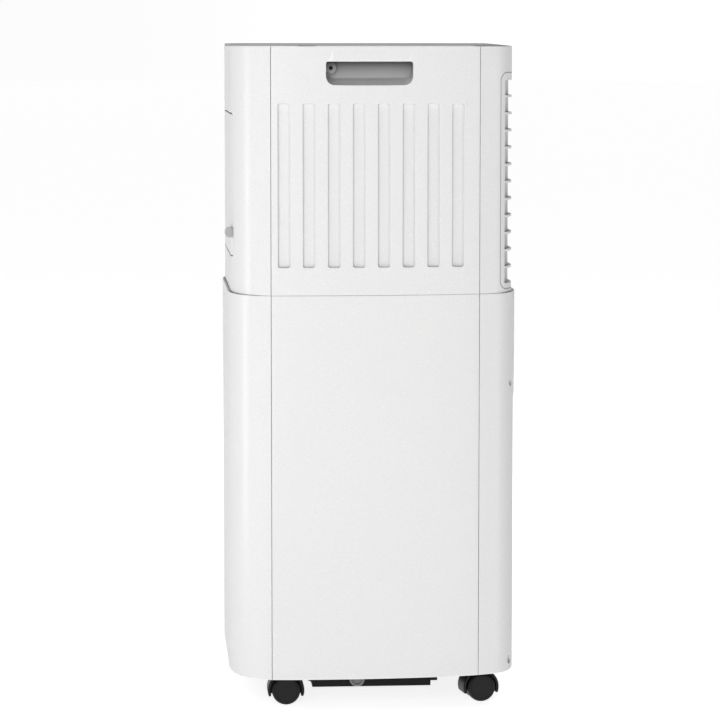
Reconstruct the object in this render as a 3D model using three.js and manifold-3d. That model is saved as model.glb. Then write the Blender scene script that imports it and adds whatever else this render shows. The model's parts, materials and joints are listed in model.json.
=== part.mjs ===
// A free-standing dehumidifier: a tall two-tier cabinet on four twin-wheel casters.
//
// Millimetres. The origin is on the floor, under the middle of the cabinet. +Z is up, the air
// outlet is at the front on -Y, the air intake and the warm air outlet are at the rear on +Y.
import * as THREE from "three";
import { mergeVertices } from "three/addons/utils/BufferGeometryUtils.js";
import Module from "manifold-3d";

const wasm = await Module();
wasm.setup();

// ---------------------------------------------------------------- driving dimensions

const FIT = 0.3; // gap between pieces that touch
const SEAM = 1; // visible joint line between shells
const BOARD = 2; // thickness of inner plates and ducts

const HALF_DEPTH = 151; // lower tier, middle to front and rear face
const UPPER_HALF_DEPTH = 148.1; // upper tier, set back a little at front and rear
const BASE_Z = 36.5; // lower edge of the cabinet
const SPLIT_Z = 440.3; // joint line between the tiers
const SHOULDER_Z = 696.7; // upper edge of the white shells
const TOP_Z = 699.7;

const SHELL = 2.6; // wall of the front and rear shells
const PANEL = 5; // wall of the side panels

// Plan of the right-hand half: flat front, round corner, long bowed side, flat facet at the
// seam, round corner, flat rear.
const FRONT_FLAT = 88.5;
const FRONT_SEAM = new THREE.Vector2(163.6, -108.5);
const REAR_SEAM = new THREE.Vector2(153.1, 109.4);
const REAR_FACET = new THREE.Vector2(145.5, 129.5);
const REAR_FLAT = 100;
const CORNER_STEPS = 5;
const SIDE_STEPS = 6;

const GROOVES = { count: 8, first: -101.3, pitch: 25.87, width: 12.6, low: 468.8, high: 638.1, depth: 3.9 };
const HANDLE = { front: -51.5, rear: 38.7, low: 657, high: 681, rise: 6.5, inner: 145, round: 9 };
const HANDLE_BOSS = { y: -45.7, z: 674.4, radius: 6.15, hole: 2, reach: 6 };

const FLAP = { half: 114, low: 478.5, high: 626, thick: 3, pivotY: -138, pivotZ: 502 };
const FLAP_TAB = { from: 96, radius: 6, y: -149.3 };
const FLAP_ARM = { x: 101, half: 2 };
const DUCT = { half: 108, low: 512, high: 618, front: -142.5, rear: -94.3 };
const VANES = { count: 4, pitch: 46, y: -124, nose: 14, tail: 18, crank: 12 };

const INTAKE = { half: 143.4, low: 443.4, high: 670, round: 8 };
const FINS = { gaps: 12, low: 449.6, pitch: 17.84, thick: 2.1, half: 137.5, depth: 4.2 };

const EXHAUST = { half: 78, low: 323, high: 439, face: 155, mouth: 48, z: 383 };
const LOUVRES = { count: 12, low: 100, pitch: 15.5, height: 6, half: 96 };
const DRAIN_CAP = { x: 50, z: 309, radius: 11 };
const CORD_GLAND = { x: -96, z: 72, radius: 8, hole: 3.6 };

const TRAY = { halfX: 108, halfY: 70.5, footY: 63.3, low: 17, step: 22.4, high: 36.3, corner: 20 };
const PLUG = { y: -16, z: 26.6, radius: 8.1, reach: 8 };

const CASTER = { x: 102, y: 103.5, trail: 12, wheel: 15.1, hood: 19.5, halfWidth: 15 };
const CASTER_TURN = { front: 0, rear: 9 }; // degrees each pair is swivelled at rest

const BUTTONS = { count: 5, pitch: 26, y: -62, radius: 7, low: SHOULDER_Z - 3.6, press: 1 };
const LENS = { half: 76, front: -104, rear: -44, depth: 1.6, round: 3 };

const BLOWER = { z: 565, wheel: 86, front: 0, rear: 52 };
const FAN = { z: 205, wheel: 84, front: 48, rear: 84 };

// ---------------------------------------------------------------- finishes

const WHITE = { color: 0xf0f0ef, roughness: 0.42, metalness: 0 };
const INNER_WHITE = { color: 0xdcdcda, roughness: 0.55, metalness: 0 };
const GREY = { color: 0x8b8d8f, roughness: 0.5, metalness: 0 };
const BLACK = { color: 0x1b1b1c, roughness: 0.55, metalness: 0 };
const LENS_BLACK = { color: 0x0c0c0e, roughness: 0.12, metalness: 0 };
const BUTTON_GREY = { color: 0xc9cbcc, roughness: 0.4, metalness: 0 };
const MESH_GREY = { color: 0x6d7072, roughness: 0.8, metalness: 0 };
const STEEL = { color: 0xb9bbbd, roughness: 0.35, metalness: 1 };
const ALUMINIUM = { color: 0xc8cacc, roughness: 0.4, metalness: 1 };
const BOARD_GREEN = { color: 0x1f5a3a, roughness: 0.6, metalness: 0 };

// ---------------------------------------------------------------- solids

// A closed three.js geometry as a solid that can be joined and cut.
function solid(geometry) {
  const bare = geometry.clone();
  bare.deleteAttribute("normal");
  bare.deleteAttribute("uv");
  const merged = mergeVertices(bare, 1e-4);
  return new wasm.Manifold(
    new wasm.Mesh({
      numProp: 3,
      vertProperties: new Float32Array(merged.attributes.position.array),
      triVerts: new Uint32Array(merged.index.array),
    }),
  );
}

function geometryOf(made) {
  const mesh = made.getMesh();
  const geometry = new THREE.BufferGeometry();
  geometry.setAttribute("position", new THREE.BufferAttribute(mesh.vertProperties, 3));
  geometry.setIndex(new THREE.BufferAttribute(mesh.triVerts, 1));
  geometry.computeVertexNormals();
  return geometry;
}

function box([x0, x1], [y0, y1], [z0, z1]) {
  const geometry = new THREE.BoxGeometry(x1 - x0, y1 - y0, z1 - z0);
  return solid(geometry.translate((x0 + x1) / 2, (y0 + y1) / 2, (z0 + z1) / 2));
}

const span = (half) => [-half, half];

// Turns local Z onto a row axis. Local X and Y become Y,Z or X,Z or X,Y of the row.
const TURNS = {
  x: new THREE.Matrix4().makeBasis(
    new THREE.Vector3(0, 1, 0),
    new THREE.Vector3(0, 0, 1),
    new THREE.Vector3(1, 0, 0),
  ),
  y: new THREE.Matrix4().makeBasis(
    new THREE.Vector3(1, 0, 0),
    new THREE.Vector3(0, 0, 1),
    new THREE.Vector3(0, -1, 0),
  ),
  z: new THREE.Matrix4(),
};

// A flat shape drawn across an axis and drawn out along it from one place to another.
function extrude(axis, shape, [from, to], curveSegments = 2) {
  const geometry = new THREE.ExtrudeGeometry(shape, {
    depth: to - from,
    bevelEnabled: false,
    curveSegments,
  });
  geometry.translate(0, 0, axis === "y" ? -to : from);
  return solid(geometry.applyMatrix4(TURNS[axis]));
}

// A round bar along an axis; the centre is given in the other two coordinates, in order.
function bar(axis, radius, reach, [a, b], sides = 16) {
  const points = [];
  for (let i = 0; i < sides; i++) {
    const angle = (2 * Math.PI * i) / sides;
    points.push(new THREE.Vector2(a + radius * Math.cos(angle), b + radius * Math.sin(angle)));
  }
  return extrude(axis, new THREE.Shape(points), reach);
}

function roundedRect([a0, a1], [b0, b1], lowRound, highRound = lowRound) {
  const quarter = Math.PI / 2;
  const shape = new THREE.Shape();
  shape.absarc(a1 - lowRound, b0 + lowRound, lowRound, -quarter, 0, false);
  shape.absarc(a1 - highRound, b1 - highRound, highRound, 0, quarter, false);
  shape.absarc(a0 + highRound, b1 - highRound, highRound, quarter, 2 * quarter, false);
  shape.absarc(a0 + lowRound, b0 + lowRound, lowRound, 2 * quarter, 3 * quarter, false);
  return shape;
}

// A solid of revolution about the row's Z axis: the profile lists [radius, height] pairs.
function turned(profile, sides) {
  const points = profile.map(([r, z]) => new THREE.Vector2(r, z));
  const geometry = new THREE.LatheGeometry(points, sides).rotateX(Math.PI / 2);
  return solid(geometry);
}

function tube(points, radius, steps, sides = 6) {
  const section = new THREE.Shape();
  for (let i = 0; i < sides; i++) {
    const angle = (2 * Math.PI * i) / sides;
    const [u, v] = [radius * Math.cos(angle), radius * Math.sin(angle)];
    if (i === 0) section.moveTo(u, v);
    else section.lineTo(u, v);
  }
  const stops = points.map((p) => new THREE.Vector3(...p));
  const route = new THREE.CatmullRomCurve3(stops, false, "catmullrom", 0.3);
  return solid(new THREE.ExtrudeGeometry(section, { steps, extrudePath: route, bevelEnabled: false }));
}

// Joins a list of solids into one.
const join = (solids) => solids.reduce((all, next) => all.add(next));

const group = new THREE.Group();

function part(name, made, finish, holder = group) {
  const mesh = new THREE.Mesh(geometryOf(made), new THREE.MeshStandardMaterial(finish));
  mesh.name = name;
  holder.add(mesh);
  return mesh;
}

// ---------------------------------------------------------------- plan of the housing

// Beyond the side seams the upper tier is the lower one squeezed towards its middle.
function squeeze(point, halfDepth) {
  const seam = point.y < 0 ? FRONT_SEAM.y : REAR_SEAM.y;
  const beyond = Math.abs(point.y) > Math.abs(seam);
  const room = (halfDepth - Math.abs(seam)) / (HALF_DEPTH - Math.abs(seam));
  return new THREE.Vector2(point.x, beyond ? seam + (point.y - seam) * room : point.y);
}

// The three runs of the plan, anticlockwise from above: front from the left seam round to the
// right seam, right side from front to rear, and rear from the right seam round to the left.
function planRuns(halfDepth) {
  const mirror = (points) => points.map((p) => new THREE.Vector2(-p.x, p.y)).reverse();
  const corner = new THREE.Path().moveTo(FRONT_FLAT, -HALF_DEPTH);
  corner.bezierCurveTo(128.5, -HALF_DEPTH, 157.3, -136.8, FRONT_SEAM.x, FRONT_SEAM.y);
  const side = new THREE.Path().moveTo(FRONT_SEAM.x, FRONT_SEAM.y);
  side.bezierCurveTo(169, -60, 166.5, 62, REAR_SEAM.x, REAR_SEAM.y);
  const rear = new THREE.Path().moveTo(REAR_SEAM.x, REAR_SEAM.y);
  rear.lineTo(REAR_FACET.x, REAR_FACET.y);
  rear.bezierCurveTo(141, 141.5, 119, HALF_DEPTH, REAR_FLAT, HALF_DEPTH);

  const fit = (points) => points.map((p) => squeeze(p, halfDepth));
  const cornerPoints = fit(corner.getPoints(CORNER_STEPS));
  const rearPoints = fit(rear.getPoints(CORNER_STEPS));
  return {
    front: [...mirror(cornerPoints), ...cornerPoints],
    right: fit(side.getPoints(SIDE_STEPS)),
    rear: [...rearPoints, ...mirror(rearPoints)],
    left: mirror(fit(side.getPoints(SIDE_STEPS))),
  };
}

const LOWER = planRuns(HALF_DEPTH);
const UPPER = planRuns(UPPER_HALF_DEPTH);

// Moves a run inwards, to the left of its direction of travel, by an even distance.
function inset(points, distance, closed = false) {
  const normal = (a, b) => new THREE.Vector2(a.y - b.y, b.x - a.x).normalize();
  const last = points.length - 1;
  return points.map((p, i) => {
    const before = points[i > 0 ? i - 1 : closed ? last : 0];
    const after = points[i < last ? i + 1 : closed ? 0 : last];
    const arriving = before === p ? normal(p, after) : normal(before, p);
    const leaving = after === p ? arriving : normal(p, after);
    const middle = arriving.clone().add(leaving).normalize();
    return p.clone().addScaledVector(middle, distance / middle.dot(arriving));
  });
}

// Pulls both ends of a run back by half of the seam between two shells.
function trimmed(run) {
  const ends = [...run];
  const pull = (end, next) => end.clone().addScaledVector(next.clone().sub(end).normalize(), SEAM / 2);
  ends[0] = pull(run[0], run[1]);
  ends[run.length - 1] = pull(run[run.length - 1], run[run.length - 2]);
  return ends;
}

// A wall that follows a run, between two heights.
function wall(run, thick, heights) {
  const outer = trimmed(run);
  return extrude("z", new THREE.Shape([...outer, ...inset(outer, thick).reverse()]), heights);
}

// Everything inside the housing's outline, moved in by a distance.
function within(tier, distance, heights) {
  const loop = [tier.front, tier.right, tier.rear, tier.left].flatMap((run) => run.slice(0, -1));
  return extrude("z", new THREE.Shape(inset(loop, distance, true)), heights);
}

// ---------------------------------------------------------------- base and drain tray

function base() {
  const floor = within(LOWER, PANEL + 0.6, [BASE_Z + 0.5, BASE_Z + 24]);
  const hollow = within(LOWER, PANEL + 3.2, [BASE_Z + 3.5, BASE_Z + 30]);
  const sockets = [];
  const stems = [];
  for (const x of span(CASTER.x)) {
    for (const y of span(CASTER.y)) {
      sockets.push(bar("z", 9, [BASE_Z + 1, BASE_Z + 19], [x, y], 12));
      stems.push(bar("z", 5.4, [BASE_Z - 5, BASE_Z + 16], [x, y], 12));
    }
  }
  const drain = bar("z", 6, [BASE_Z - 5, BASE_Z + 5], [60, 0], 8);
  const pan = floor.subtract(hollow).add(join(sockets));
  part("base_pan", pan.subtract(join(stems)).subtract(drain), BLACK);

  const { halfX, halfY, footY, low, step, high, corner } = TRAY;
  const outline = new THREE.Shape();
  outline.moveTo(-footY, low);
  outline.lineTo(footY, low);
  outline.lineTo(footY, step);
  outline.lineTo(halfY - 1, step);
  outline.lineTo(halfY, step + 2);
  outline.lineTo(halfY, high);
  outline.lineTo(-halfY, high);
  outline.lineTo(-halfY, step);
  outline.lineTo(-footY, step);
  const hollowTray = box(span(halfX - 3), span(footY - 3), [low + 3, high + 1]);
  const mouth = bar("x", PLUG.radius - 3, [halfX - 10, halfX + 5], [PLUG.y, PLUG.z], 16);
  const collar = bar("x", PLUG.radius - 0.5, [halfX - 6, halfX], [PLUG.y, PLUG.z], 16);
  // The flange round the tray has its front corners cut off.
  const plan = new THREE.Shape();
  plan.moveTo(halfX + 1, -footY);
  plan.lineTo(halfX + 1, halfY + 1);
  plan.lineTo(-halfX - 1, halfY + 1);
  plan.lineTo(-halfX - 1, -footY);
  plan.lineTo(-halfX, -footY);
  plan.lineTo(-halfX + corner, -halfY - 1);
  plan.lineTo(halfX - corner, -halfY - 1);
  plan.lineTo(halfX, -footY);
  const block = extrude("x", outline, span(halfX)).intersect(extrude("z", plan, [low - 1, high + 1]));
  part("base_tray", block.subtract(hollowTray).add(collar).subtract(mouth), BLACK);

  const head = bar("x", PLUG.radius, [halfX + FIT, halfX + PLUG.reach], [PLUG.y, PLUG.z], 20);
  const stem = bar("x", PLUG.radius - 3.4, [halfX - 5, halfX + 1], [PLUG.y, PLUG.z], 16);
  const groove = bar("x", 5.6, [halfX + PLUG.reach - 1.6, halfX + PLUG.reach + 1], [PLUG.y, PLUG.z], 16);
  const core = bar("x", 3.4, [halfX + 2, halfX + PLUG.reach - 0.4], [PLUG.y, PLUG.z], 10);
  part("drain_plug", head.subtract(groove).add(stem).add(core), GREY);
}

// ---------------------------------------------------------------- outer shells

function lowerShells() {
  const heights = [BASE_Z, SPLIT_Z - SEAM / 2];
  part("lower_front_shell", wall(LOWER.front, SHELL, heights), WHITE);
  part("lower_side_panel_right", wall(LOWER.right, PANEL, heights), WHITE);
  part("lower_side_panel_left", wall(LOWER.left, PANEL, heights), WHITE);

  const through = [HALF_DEPTH - 10, HALF_DEPTH + 5];
  const holes = [
    bar("y", EXHAUST.mouth + 2, through, [0, EXHAUST.z], 20),
    bar("y", 7, through, [DRAIN_CAP.x, DRAIN_CAP.z], 8),
    bar("y", 6.5, through, [CORD_GLAND.x, CORD_GLAND.z], 8),
  ];
  for (let i = 0; i < LOUVRES.count; i++) {
    const low = LOUVRES.low + i * LOUVRES.pitch;
    holes.push(box(span(LOUVRES.half), through, [low, low + LOUVRES.height]));
  }
  part("lower_rear_shell", wall(LOWER.rear, SHELL, heights).subtract(join(holes)), WHITE);
}

function upperShells() {
  const heights = [SPLIT_Z + SEAM / 2, SHOULDER_Z];
  const outlet = roundedRect(span(FLAP.half + 0.5), [FLAP.low - 1.4, FLAP.high + 1.5], 5);
  const outletHole = extrude("y", outlet, [-UPPER_HALF_DEPTH - 5, -UPPER_HALF_DEPTH + 12]);
  part("upper_front_shell", wall(UPPER.front, SHELL, heights).subtract(outletHole), WHITE);

  const intake = roundedRect(span(INTAKE.half), [INTAKE.low, INTAKE.high], INTAKE.round);
  const intakeHole = extrude("y", intake, [REAR_SEAM.y, UPPER_HALF_DEPTH + 5]);
  part("upper_rear_shell", wall(UPPER.rear, SHELL, heights).subtract(intakeHole), WHITE);

  const grooveFloor = within(UPPER, GROOVES.depth, [GROOVES.low - 5, GROOVES.high + 5]);
  for (const [side, run, sign] of [["right", UPPER.right, 1], ["left", UPPER.left, -1]]) {
    const across = sign > 0 ? [120, 180] : [-180, -120];
    const grooves = [];
    for (let i = 0; i < GROOVES.count; i++) {
      const front = GROOVES.first + i * GROOVES.pitch;
      grooves.push(box(across, [front, front + GROOVES.width], [GROOVES.low, GROOVES.high]));
    }
    const opening = extrude("x", handleOutline(0), across);
    const panel = wall(run, PANEL, heights).subtract(join(grooves).subtract(grooveFloor));
    part("upper_side_panel_" + side, panel.subtract(opening), WHITE);
    part("handle_cup_" + side, handleCup(sign), GREY);
  }
}

function handleOutline(grow) {
  const { front, rear, low, high, round } = HANDLE;
  return roundedRect([front - grow, rear + grow], [low - grow, high + grow], round + grow, 2.5 + grow);
}

// The cup behind a handle opening: its floor slopes up and in, and its roof is undercut.
function handleCup(sign) {
  const outer = extrude("x", handleOutline(BOARD + 1), [HANDLE.inner - BOARD, 170]);
  const behindPanel = within(UPPER, PANEL + FIT, [HANDLE.low - 20, HANDLE.high + 10]);
  const side = new THREE.Shape();
  side.moveTo(171, HANDLE.low);
  side.lineTo(158, HANDLE.low);
  side.lineTo(HANDLE.inner, HANDLE.low + HANDLE.rise);
  side.lineTo(HANDLE.inner, HANDLE.high);
  side.lineTo(171, HANDLE.high);
  const opening = extrude("x", handleOutline(0), [HANDLE.inner, 171]);
  const profile = extrude("y", side, [HANDLE.front - 1, HANDLE.rear + 1]);
  const { y, z, radius, hole, reach } = HANDLE_BOSS;
  const boss = bar("x", radius, [HANDLE.inner - 1, HANDLE.inner + reach], [y, z], 14);
  const screwHole = bar("x", hole, [HANDLE.inner + 1, HANDLE.inner + reach + 1], [y, z], 8);
  const room = opening.intersect(profile).subtract(boss);
  const cup = outer.intersect(behindPanel).subtract(room).subtract(screwHole);
  return sign > 0 ? cup : cup.mirror([1, 0, 0]);
}

// ---------------------------------------------------------------- top cover and controls

function top() {
  const side = new THREE.Shape();
  side.moveTo(-UPPER_HALF_DEPTH - 1, SHOULDER_Z - 3.2);
  side.lineTo(UPPER_HALF_DEPTH + 1, SHOULDER_Z - 3.2);
  side.lineTo(UPPER_HALF_DEPTH + 1, TOP_Z - 3);
  side.lineTo(138, TOP_Z - 2);
  side.lineTo(115, TOP_Z);
  side.lineTo(-UPPER_HALF_DEPTH + 2.2, TOP_Z);
  side.lineTo(-UPPER_HALF_DEPTH + 0.4, TOP_Z - 1.6);
  side.lineTo(-UPPER_HALF_DEPTH - 1, TOP_Z - 3);
  const profile = extrude("x", side, span(175));
  const rimmed = within(UPPER, 0.4, [SHOULDER_Z + FIT, TOP_Z + 1]);
  const inside = within(UPPER, PANEL + FIT, [SHOULDER_Z - 12, SHOULDER_Z + 1]);
  const hollow = within(UPPER, PANEL + FIT + 2.4, [SHOULDER_Z - 13, SHOULDER_Z - 0.5]);
  const pocketY = [LENS.front - FIT, LENS.rear + FIT];
  const lensPocket = box(span(LENS.half + FIT), pocketY, [TOP_Z - LENS.depth - FIT, 720]);
  const wells = [];
  const lensHoles = [];
  for (const x of buttonPlaces()) {
    wells.push(bar("z", BUTTONS.radius + 0.4, [SHOULDER_Z - 14, 720], [x, BUTTONS.y], 12));
    lensHoles.push(bar("z", BUTTONS.radius + 0.4, [690, 720], [x, BUTTONS.y], 12));
  }
  const plate = profile.intersect(rimmed);
  const cover = plate.add(inside.subtract(hollow)).subtract(lensPocket).subtract(join(wells));
  part("top_cover", cover, GREY);

  const lensOutline = roundedRect(span(LENS.half), [LENS.front, LENS.rear], LENS.round);
  const lens = extrude("z", lensOutline, [TOP_Z - LENS.depth, TOP_Z - 0.2]);
  part("control_lens", lens.subtract(join(lensHoles)), LENS_BLACK);

  const names = ["power", "mode", "fan_speed", "timer", "swing"];
  buttonPlaces().forEach((x, i) => {
    const { radius, y, low } = BUTTONS;
    const crown = [[radius, TOP_Z - 0.6], [radius - 0.8, TOP_Z], [0, TOP_Z - 0.4]];
    const profile = [[0, low], [radius, low], ...crown];
    part("button_" + names[i], turned(profile, 12).translate([x, y, 0]), BUTTON_GREY);
  });

  // Each switch stands just under its button at the end of the button's travel.
  const board = box(span(74), [-102, -42], [684, 685.6]);
  const chip = box([-40, -18], [-92, -76], [685, 688]);
  const across = [BUTTONS.y - 3, BUTTONS.y + 3];
  const switchTop = BUTTONS.low - BUTTONS.press - FIT;
  const switches = buttonPlaces().map((x) => box([x - 3, x + 3], across, [685, switchTop]));
  part("control_board", board.add(chip).add(join(switches)), BOARD_GREEN);
}

function buttonPlaces() {
  const middle = (BUTTONS.count - 1) / 2;
  return Array.from({ length: BUTTONS.count }, (_, i) => (i - middle) * BUTTONS.pitch);
}

// ---------------------------------------------------------------- air outlet at the front

function outlet() {
  const { half, low, high, thick, pivotY, pivotZ } = FLAP;
  const face = -UPPER_HALF_DEPTH;
  const skin = within(UPPER, 0, [low - 5, high + 5]).subtract(within(UPPER, thick, [low - 9, high + 9]));
  const plate = skin.intersect(extrude("y", roundedRect(span(half), [low, high], 5), [face - 5, face + 20]));
  const tab = bar("x", FLAP_TAB.radius, [FLAP_TAB.from, half], [FLAP_TAB.y, pivotZ], 20);
  const inFront = box(span(200), [-200, face + thick + 1], [400, 700]);
  const arms = [];
  for (const x of span(FLAP_ARM.x)) {
    const outwards = Math.sign(x);
    const pin = [x + outwards * (FLAP_ARM.half - 0.5), outwards * (DUCT.half + 2)];
    const armX = [x - FLAP_ARM.half, x + FLAP_ARM.half];
    arms.push(box(armX, [face + thick - 1, pivotY + 3.5], [pivotZ - 4, pivotZ + 4]));
    arms.push(bar("x", 2.5, pin.sort((a, b) => a - b), [pivotY, pivotZ], 12));
  }
  part("outlet_flap", plate.add(tab.intersect(inFront)).add(join(arms)), WHITE);

  // The frame behind the flap: a square duct with an ear at each side for the flap's pins.
  const duct = box(span(DUCT.half), [DUCT.front, DUCT.rear], [DUCT.low, DUCT.high]);
  const boreZ = [DUCT.low + BOARD, DUCT.high - BOARD];
  const bore = box(span(DUCT.half - BOARD), [DUCT.front - 1, DUCT.rear + 1], boreZ);
  const ears = [];
  const earHoles = [];
  const vaneHoles = [];
  for (const x of span(DUCT.half - BOARD / 2)) {
    const across = [x - BOARD / 2, x + BOARD / 2];
    ears.push(bar("x", 5, across, [pivotY, pivotZ], 16));
    ears.push(box(across, [pivotY, pivotY + 6], [pivotZ, DUCT.low + 1]));
    earHoles.push(bar("x", 2.9, [across[0] - 1, across[1] + 1], [pivotY, pivotZ], 12));
  }
  for (const x of vanePlaces()) {
    vaneHoles.push(bar("z", 2.4, [DUCT.low - 1, DUCT.high + 1], [x, VANES.y], 8));
  }
  const frame = duct.subtract(bore).add(join(ears)).subtract(join(earHoles)).subtract(join(vaneHoles));
  part("outlet_frame", frame, INNER_WHITE);

  const { nose, tail, crank } = VANES;
  vanePlaces().forEach((x, i) => {
    const blade = new THREE.Shape();
    blade.moveTo(x - 0.5, VANES.y - nose);
    blade.lineTo(x + 0.5, VANES.y - nose);
    blade.lineTo(x + 1.4, VANES.y - 2);
    blade.lineTo(x + 0.6, VANES.y + tail);
    blade.lineTo(x - 0.6, VANES.y + tail);
    blade.lineTo(x - 1.4, VANES.y - 2);
    const vane = extrude("z", blade, [DUCT.low + 8, DUCT.high - 3]);
    const pins = bar("z", 2, [DUCT.low + 0.2, DUCT.high - 0.2], [x, VANES.y], 8);
    const crankPin = bar("z", 1.2, [DUCT.low + BOARD + 0.6, DUCT.low + 9], [x, VANES.y + crank], 6);
    part("vane_" + (i + 1), vane.add(pins).add(crankPin), INNER_WHITE);
  });

  const reach = ((VANES.count - 1) / 2) * VANES.pitch + 7;
  const link = box(span(reach), [VANES.y + crank - 6, VANES.y + crank + 4], [DUCT.low + 3, DUCT.low + 6]);
  const slots = vanePlaces().map((x) =>
    box([x - 2, x + 2], [VANES.y + crank - 4, VANES.y + crank + 1.6], [DUCT.low, DUCT.low + 10]),
  );
  part("vane_link", link.subtract(join(slots)), INNER_WHITE);

  // The flap's step motor sits beside the duct; its hub faces the end of the flap's left pin.
  const motorEnd = -DUCT.half - 2 - FIT;
  const can = bar("x", 7.5, [motorEnd - 14, -FLAP.half - 0.5], [pivotY + 5.5, pivotZ], 20);
  const hub = bar("x", 4, [-FLAP.half - 1, motorEnd], [pivotY, pivotZ], 12);
  part("flap_motor", can.add(hub), STEEL);
}

function vanePlaces() {
  const middle = (VANES.count - 1) / 2;
  return Array.from({ length: VANES.count }, (_, i) => (i - middle) * VANES.pitch);
}

// ---------------------------------------------------------------- rear intake and warm air outlet

function rear() {
  const frameDepth = 6;
  const heights = [INTAKE.low - 5, INTAKE.high + 5];
  const skin = within(UPPER, 0, heights).subtract(within(UPPER, frameDepth, [0, 720]));
  const outlineZ = [INTAKE.low + 0.5, INTAKE.high - 0.5];
  const outline = roundedRect(span(INTAKE.half - 0.5), outlineZ, INTAKE.round - 0.5);
  const insert = skin.intersect(extrude("y", outline, [REAR_SEAM.y + 4, UPPER_HALF_DEPTH + 5]));
  const gaps = [];
  const windows = [];
  const ribX = [-32, 32];
  const windowEdge = 96;
  for (let i = 0; i < FINS.gaps; i++) {
    const low = FINS.low + i * FINS.pitch;
    const band = [low, low + FINS.pitch - FINS.thick];
    gaps.push(box(span(FINS.half), [100, 170], band));
    windows.push(box(span(windowEdge), [100, 170], band));
  }
  const ribs = ribX.map((x) => box([x - 1.5, x + 1.5], [90, 180], [430, 690]));
  const backing = within(UPPER, FINS.depth, [430, 690]);
  const cut = join(gaps).subtract(backing).add(join(windows).subtract(join(ribs)));
  part("intake_grille", insert.subtract(cut), WHITE);

  const filterY = [136.4, 141.4];
  const frame = box(span(104), filterY, [455, 660]);
  const cells = [];
  for (const [x0, x1] of [[-100, -35], [-32, 32], [35, 100]]) {
    for (const [z0, z1] of [[459, 556], [559, 656]]) {
      cells.push(box([x0, x1], [filterY[0] + 1, 150], [z0, z1]));
    }
  }
  part("air_filter", frame.subtract(join(cells)), MESH_GREY);

  // Warm air outlet: a raised plate with a round mouth that a hose adaptor pushes onto.
  const rearFace = HALF_DEPTH + FIT;
  const plateOutline = roundedRect(span(EXHAUST.half), [EXHAUST.low, EXHAUST.high], 6);
  const plate = extrude("y", plateOutline, [rearFace, EXHAUST.face]);
  const sleeve = bar("y", EXHAUST.mouth, [HALF_DEPTH - 7, EXHAUST.face - 1], [0, EXHAUST.z], 28);
  const mouth = bar("y", EXHAUST.mouth - BOARD, [130, 170], [0, EXHAUST.z], 28);
  const guard = [];
  for (const x of [-24, 0, 24]) {
    guard.push(box([x - 1.5, x + 1.5], [HALF_DEPTH - 7, HALF_DEPTH - 4.5], [EXHAUST.z - 47, EXHAUST.z + 47]));
  }
  const guardDisc = join(guard).intersect(bar("y", EXHAUST.mouth, [100, 170], [0, EXHAUST.z], 28));
  part("exhaust_outlet", plate.add(sleeve).subtract(mouth).add(guardDisc), WHITE);

  const cap = bar("y", DRAIN_CAP.radius, [rearFace, EXHAUST.face - 0.5], [DRAIN_CAP.x, DRAIN_CAP.z], 20);
  const capStem = bar("y", 5.5, [HALF_DEPTH - 8, rearFace + 1], [DRAIN_CAP.x, DRAIN_CAP.z], 10);
  part("drain_cap", cap.add(capStem), GREY);

  const { x, z, radius, hole } = CORD_GLAND;
  const collar = bar("y", radius, [rearFace, EXHAUST.face - 1], [x, z], 20);
  const barrel = bar("y", 5.5, [HALF_DEPTH - 9, rearFace + 1], [x, z], 12);
  const cordHole = bar("y", hole, [HALF_DEPTH - 10, 170], [x, z], 12);
  part("cord_gland", collar.add(barrel).subtract(cordHole), BLACK);
}

// ---------------------------------------------------------------- working parts inside

// A drum wheel with a back plate, a hub, straight blades and a front ring, turning about Y.
function drumWheel(radius, [front, rear], z, blades, shaft) {
  const plate = bar("y", radius, [front, front + 2], [0, z], blades);
  const eye = bar("y", radius - 14, [front, rear + 1], [0, z], blades);
  const ring = bar("y", radius, [rear - 2, rear], [0, z], blades).subtract(eye);
  const bore = bar("y", shaft, [front - 1, rear], [0, z], 8);
  const hub = bar("y", 14, [front, rear - 6], [0, z], 12);
  const fins = [];
  for (let i = 0; i < blades; i++) {
    const fin = box([radius - 13, radius - 1], [front + 1, rear - 1], [-0.8, 0.8]);
    fins.push(fin.rotate([0, (360 * i) / blades, 0]).translate([0, 0, z]));
  }
  return plate.add(hub).subtract(bore).add(ring).add(join(fins));
}

function motor(name, z, [front, rear], shaftEnd, radius) {
  const can = bar("y", radius, [front, rear], [0, z], 20);
  const shaft = bar("y", 4, [rear - 1, shaftEnd], [0, z], 8);
  return part(name, can.add(shaft), STEEL);
}

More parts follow.
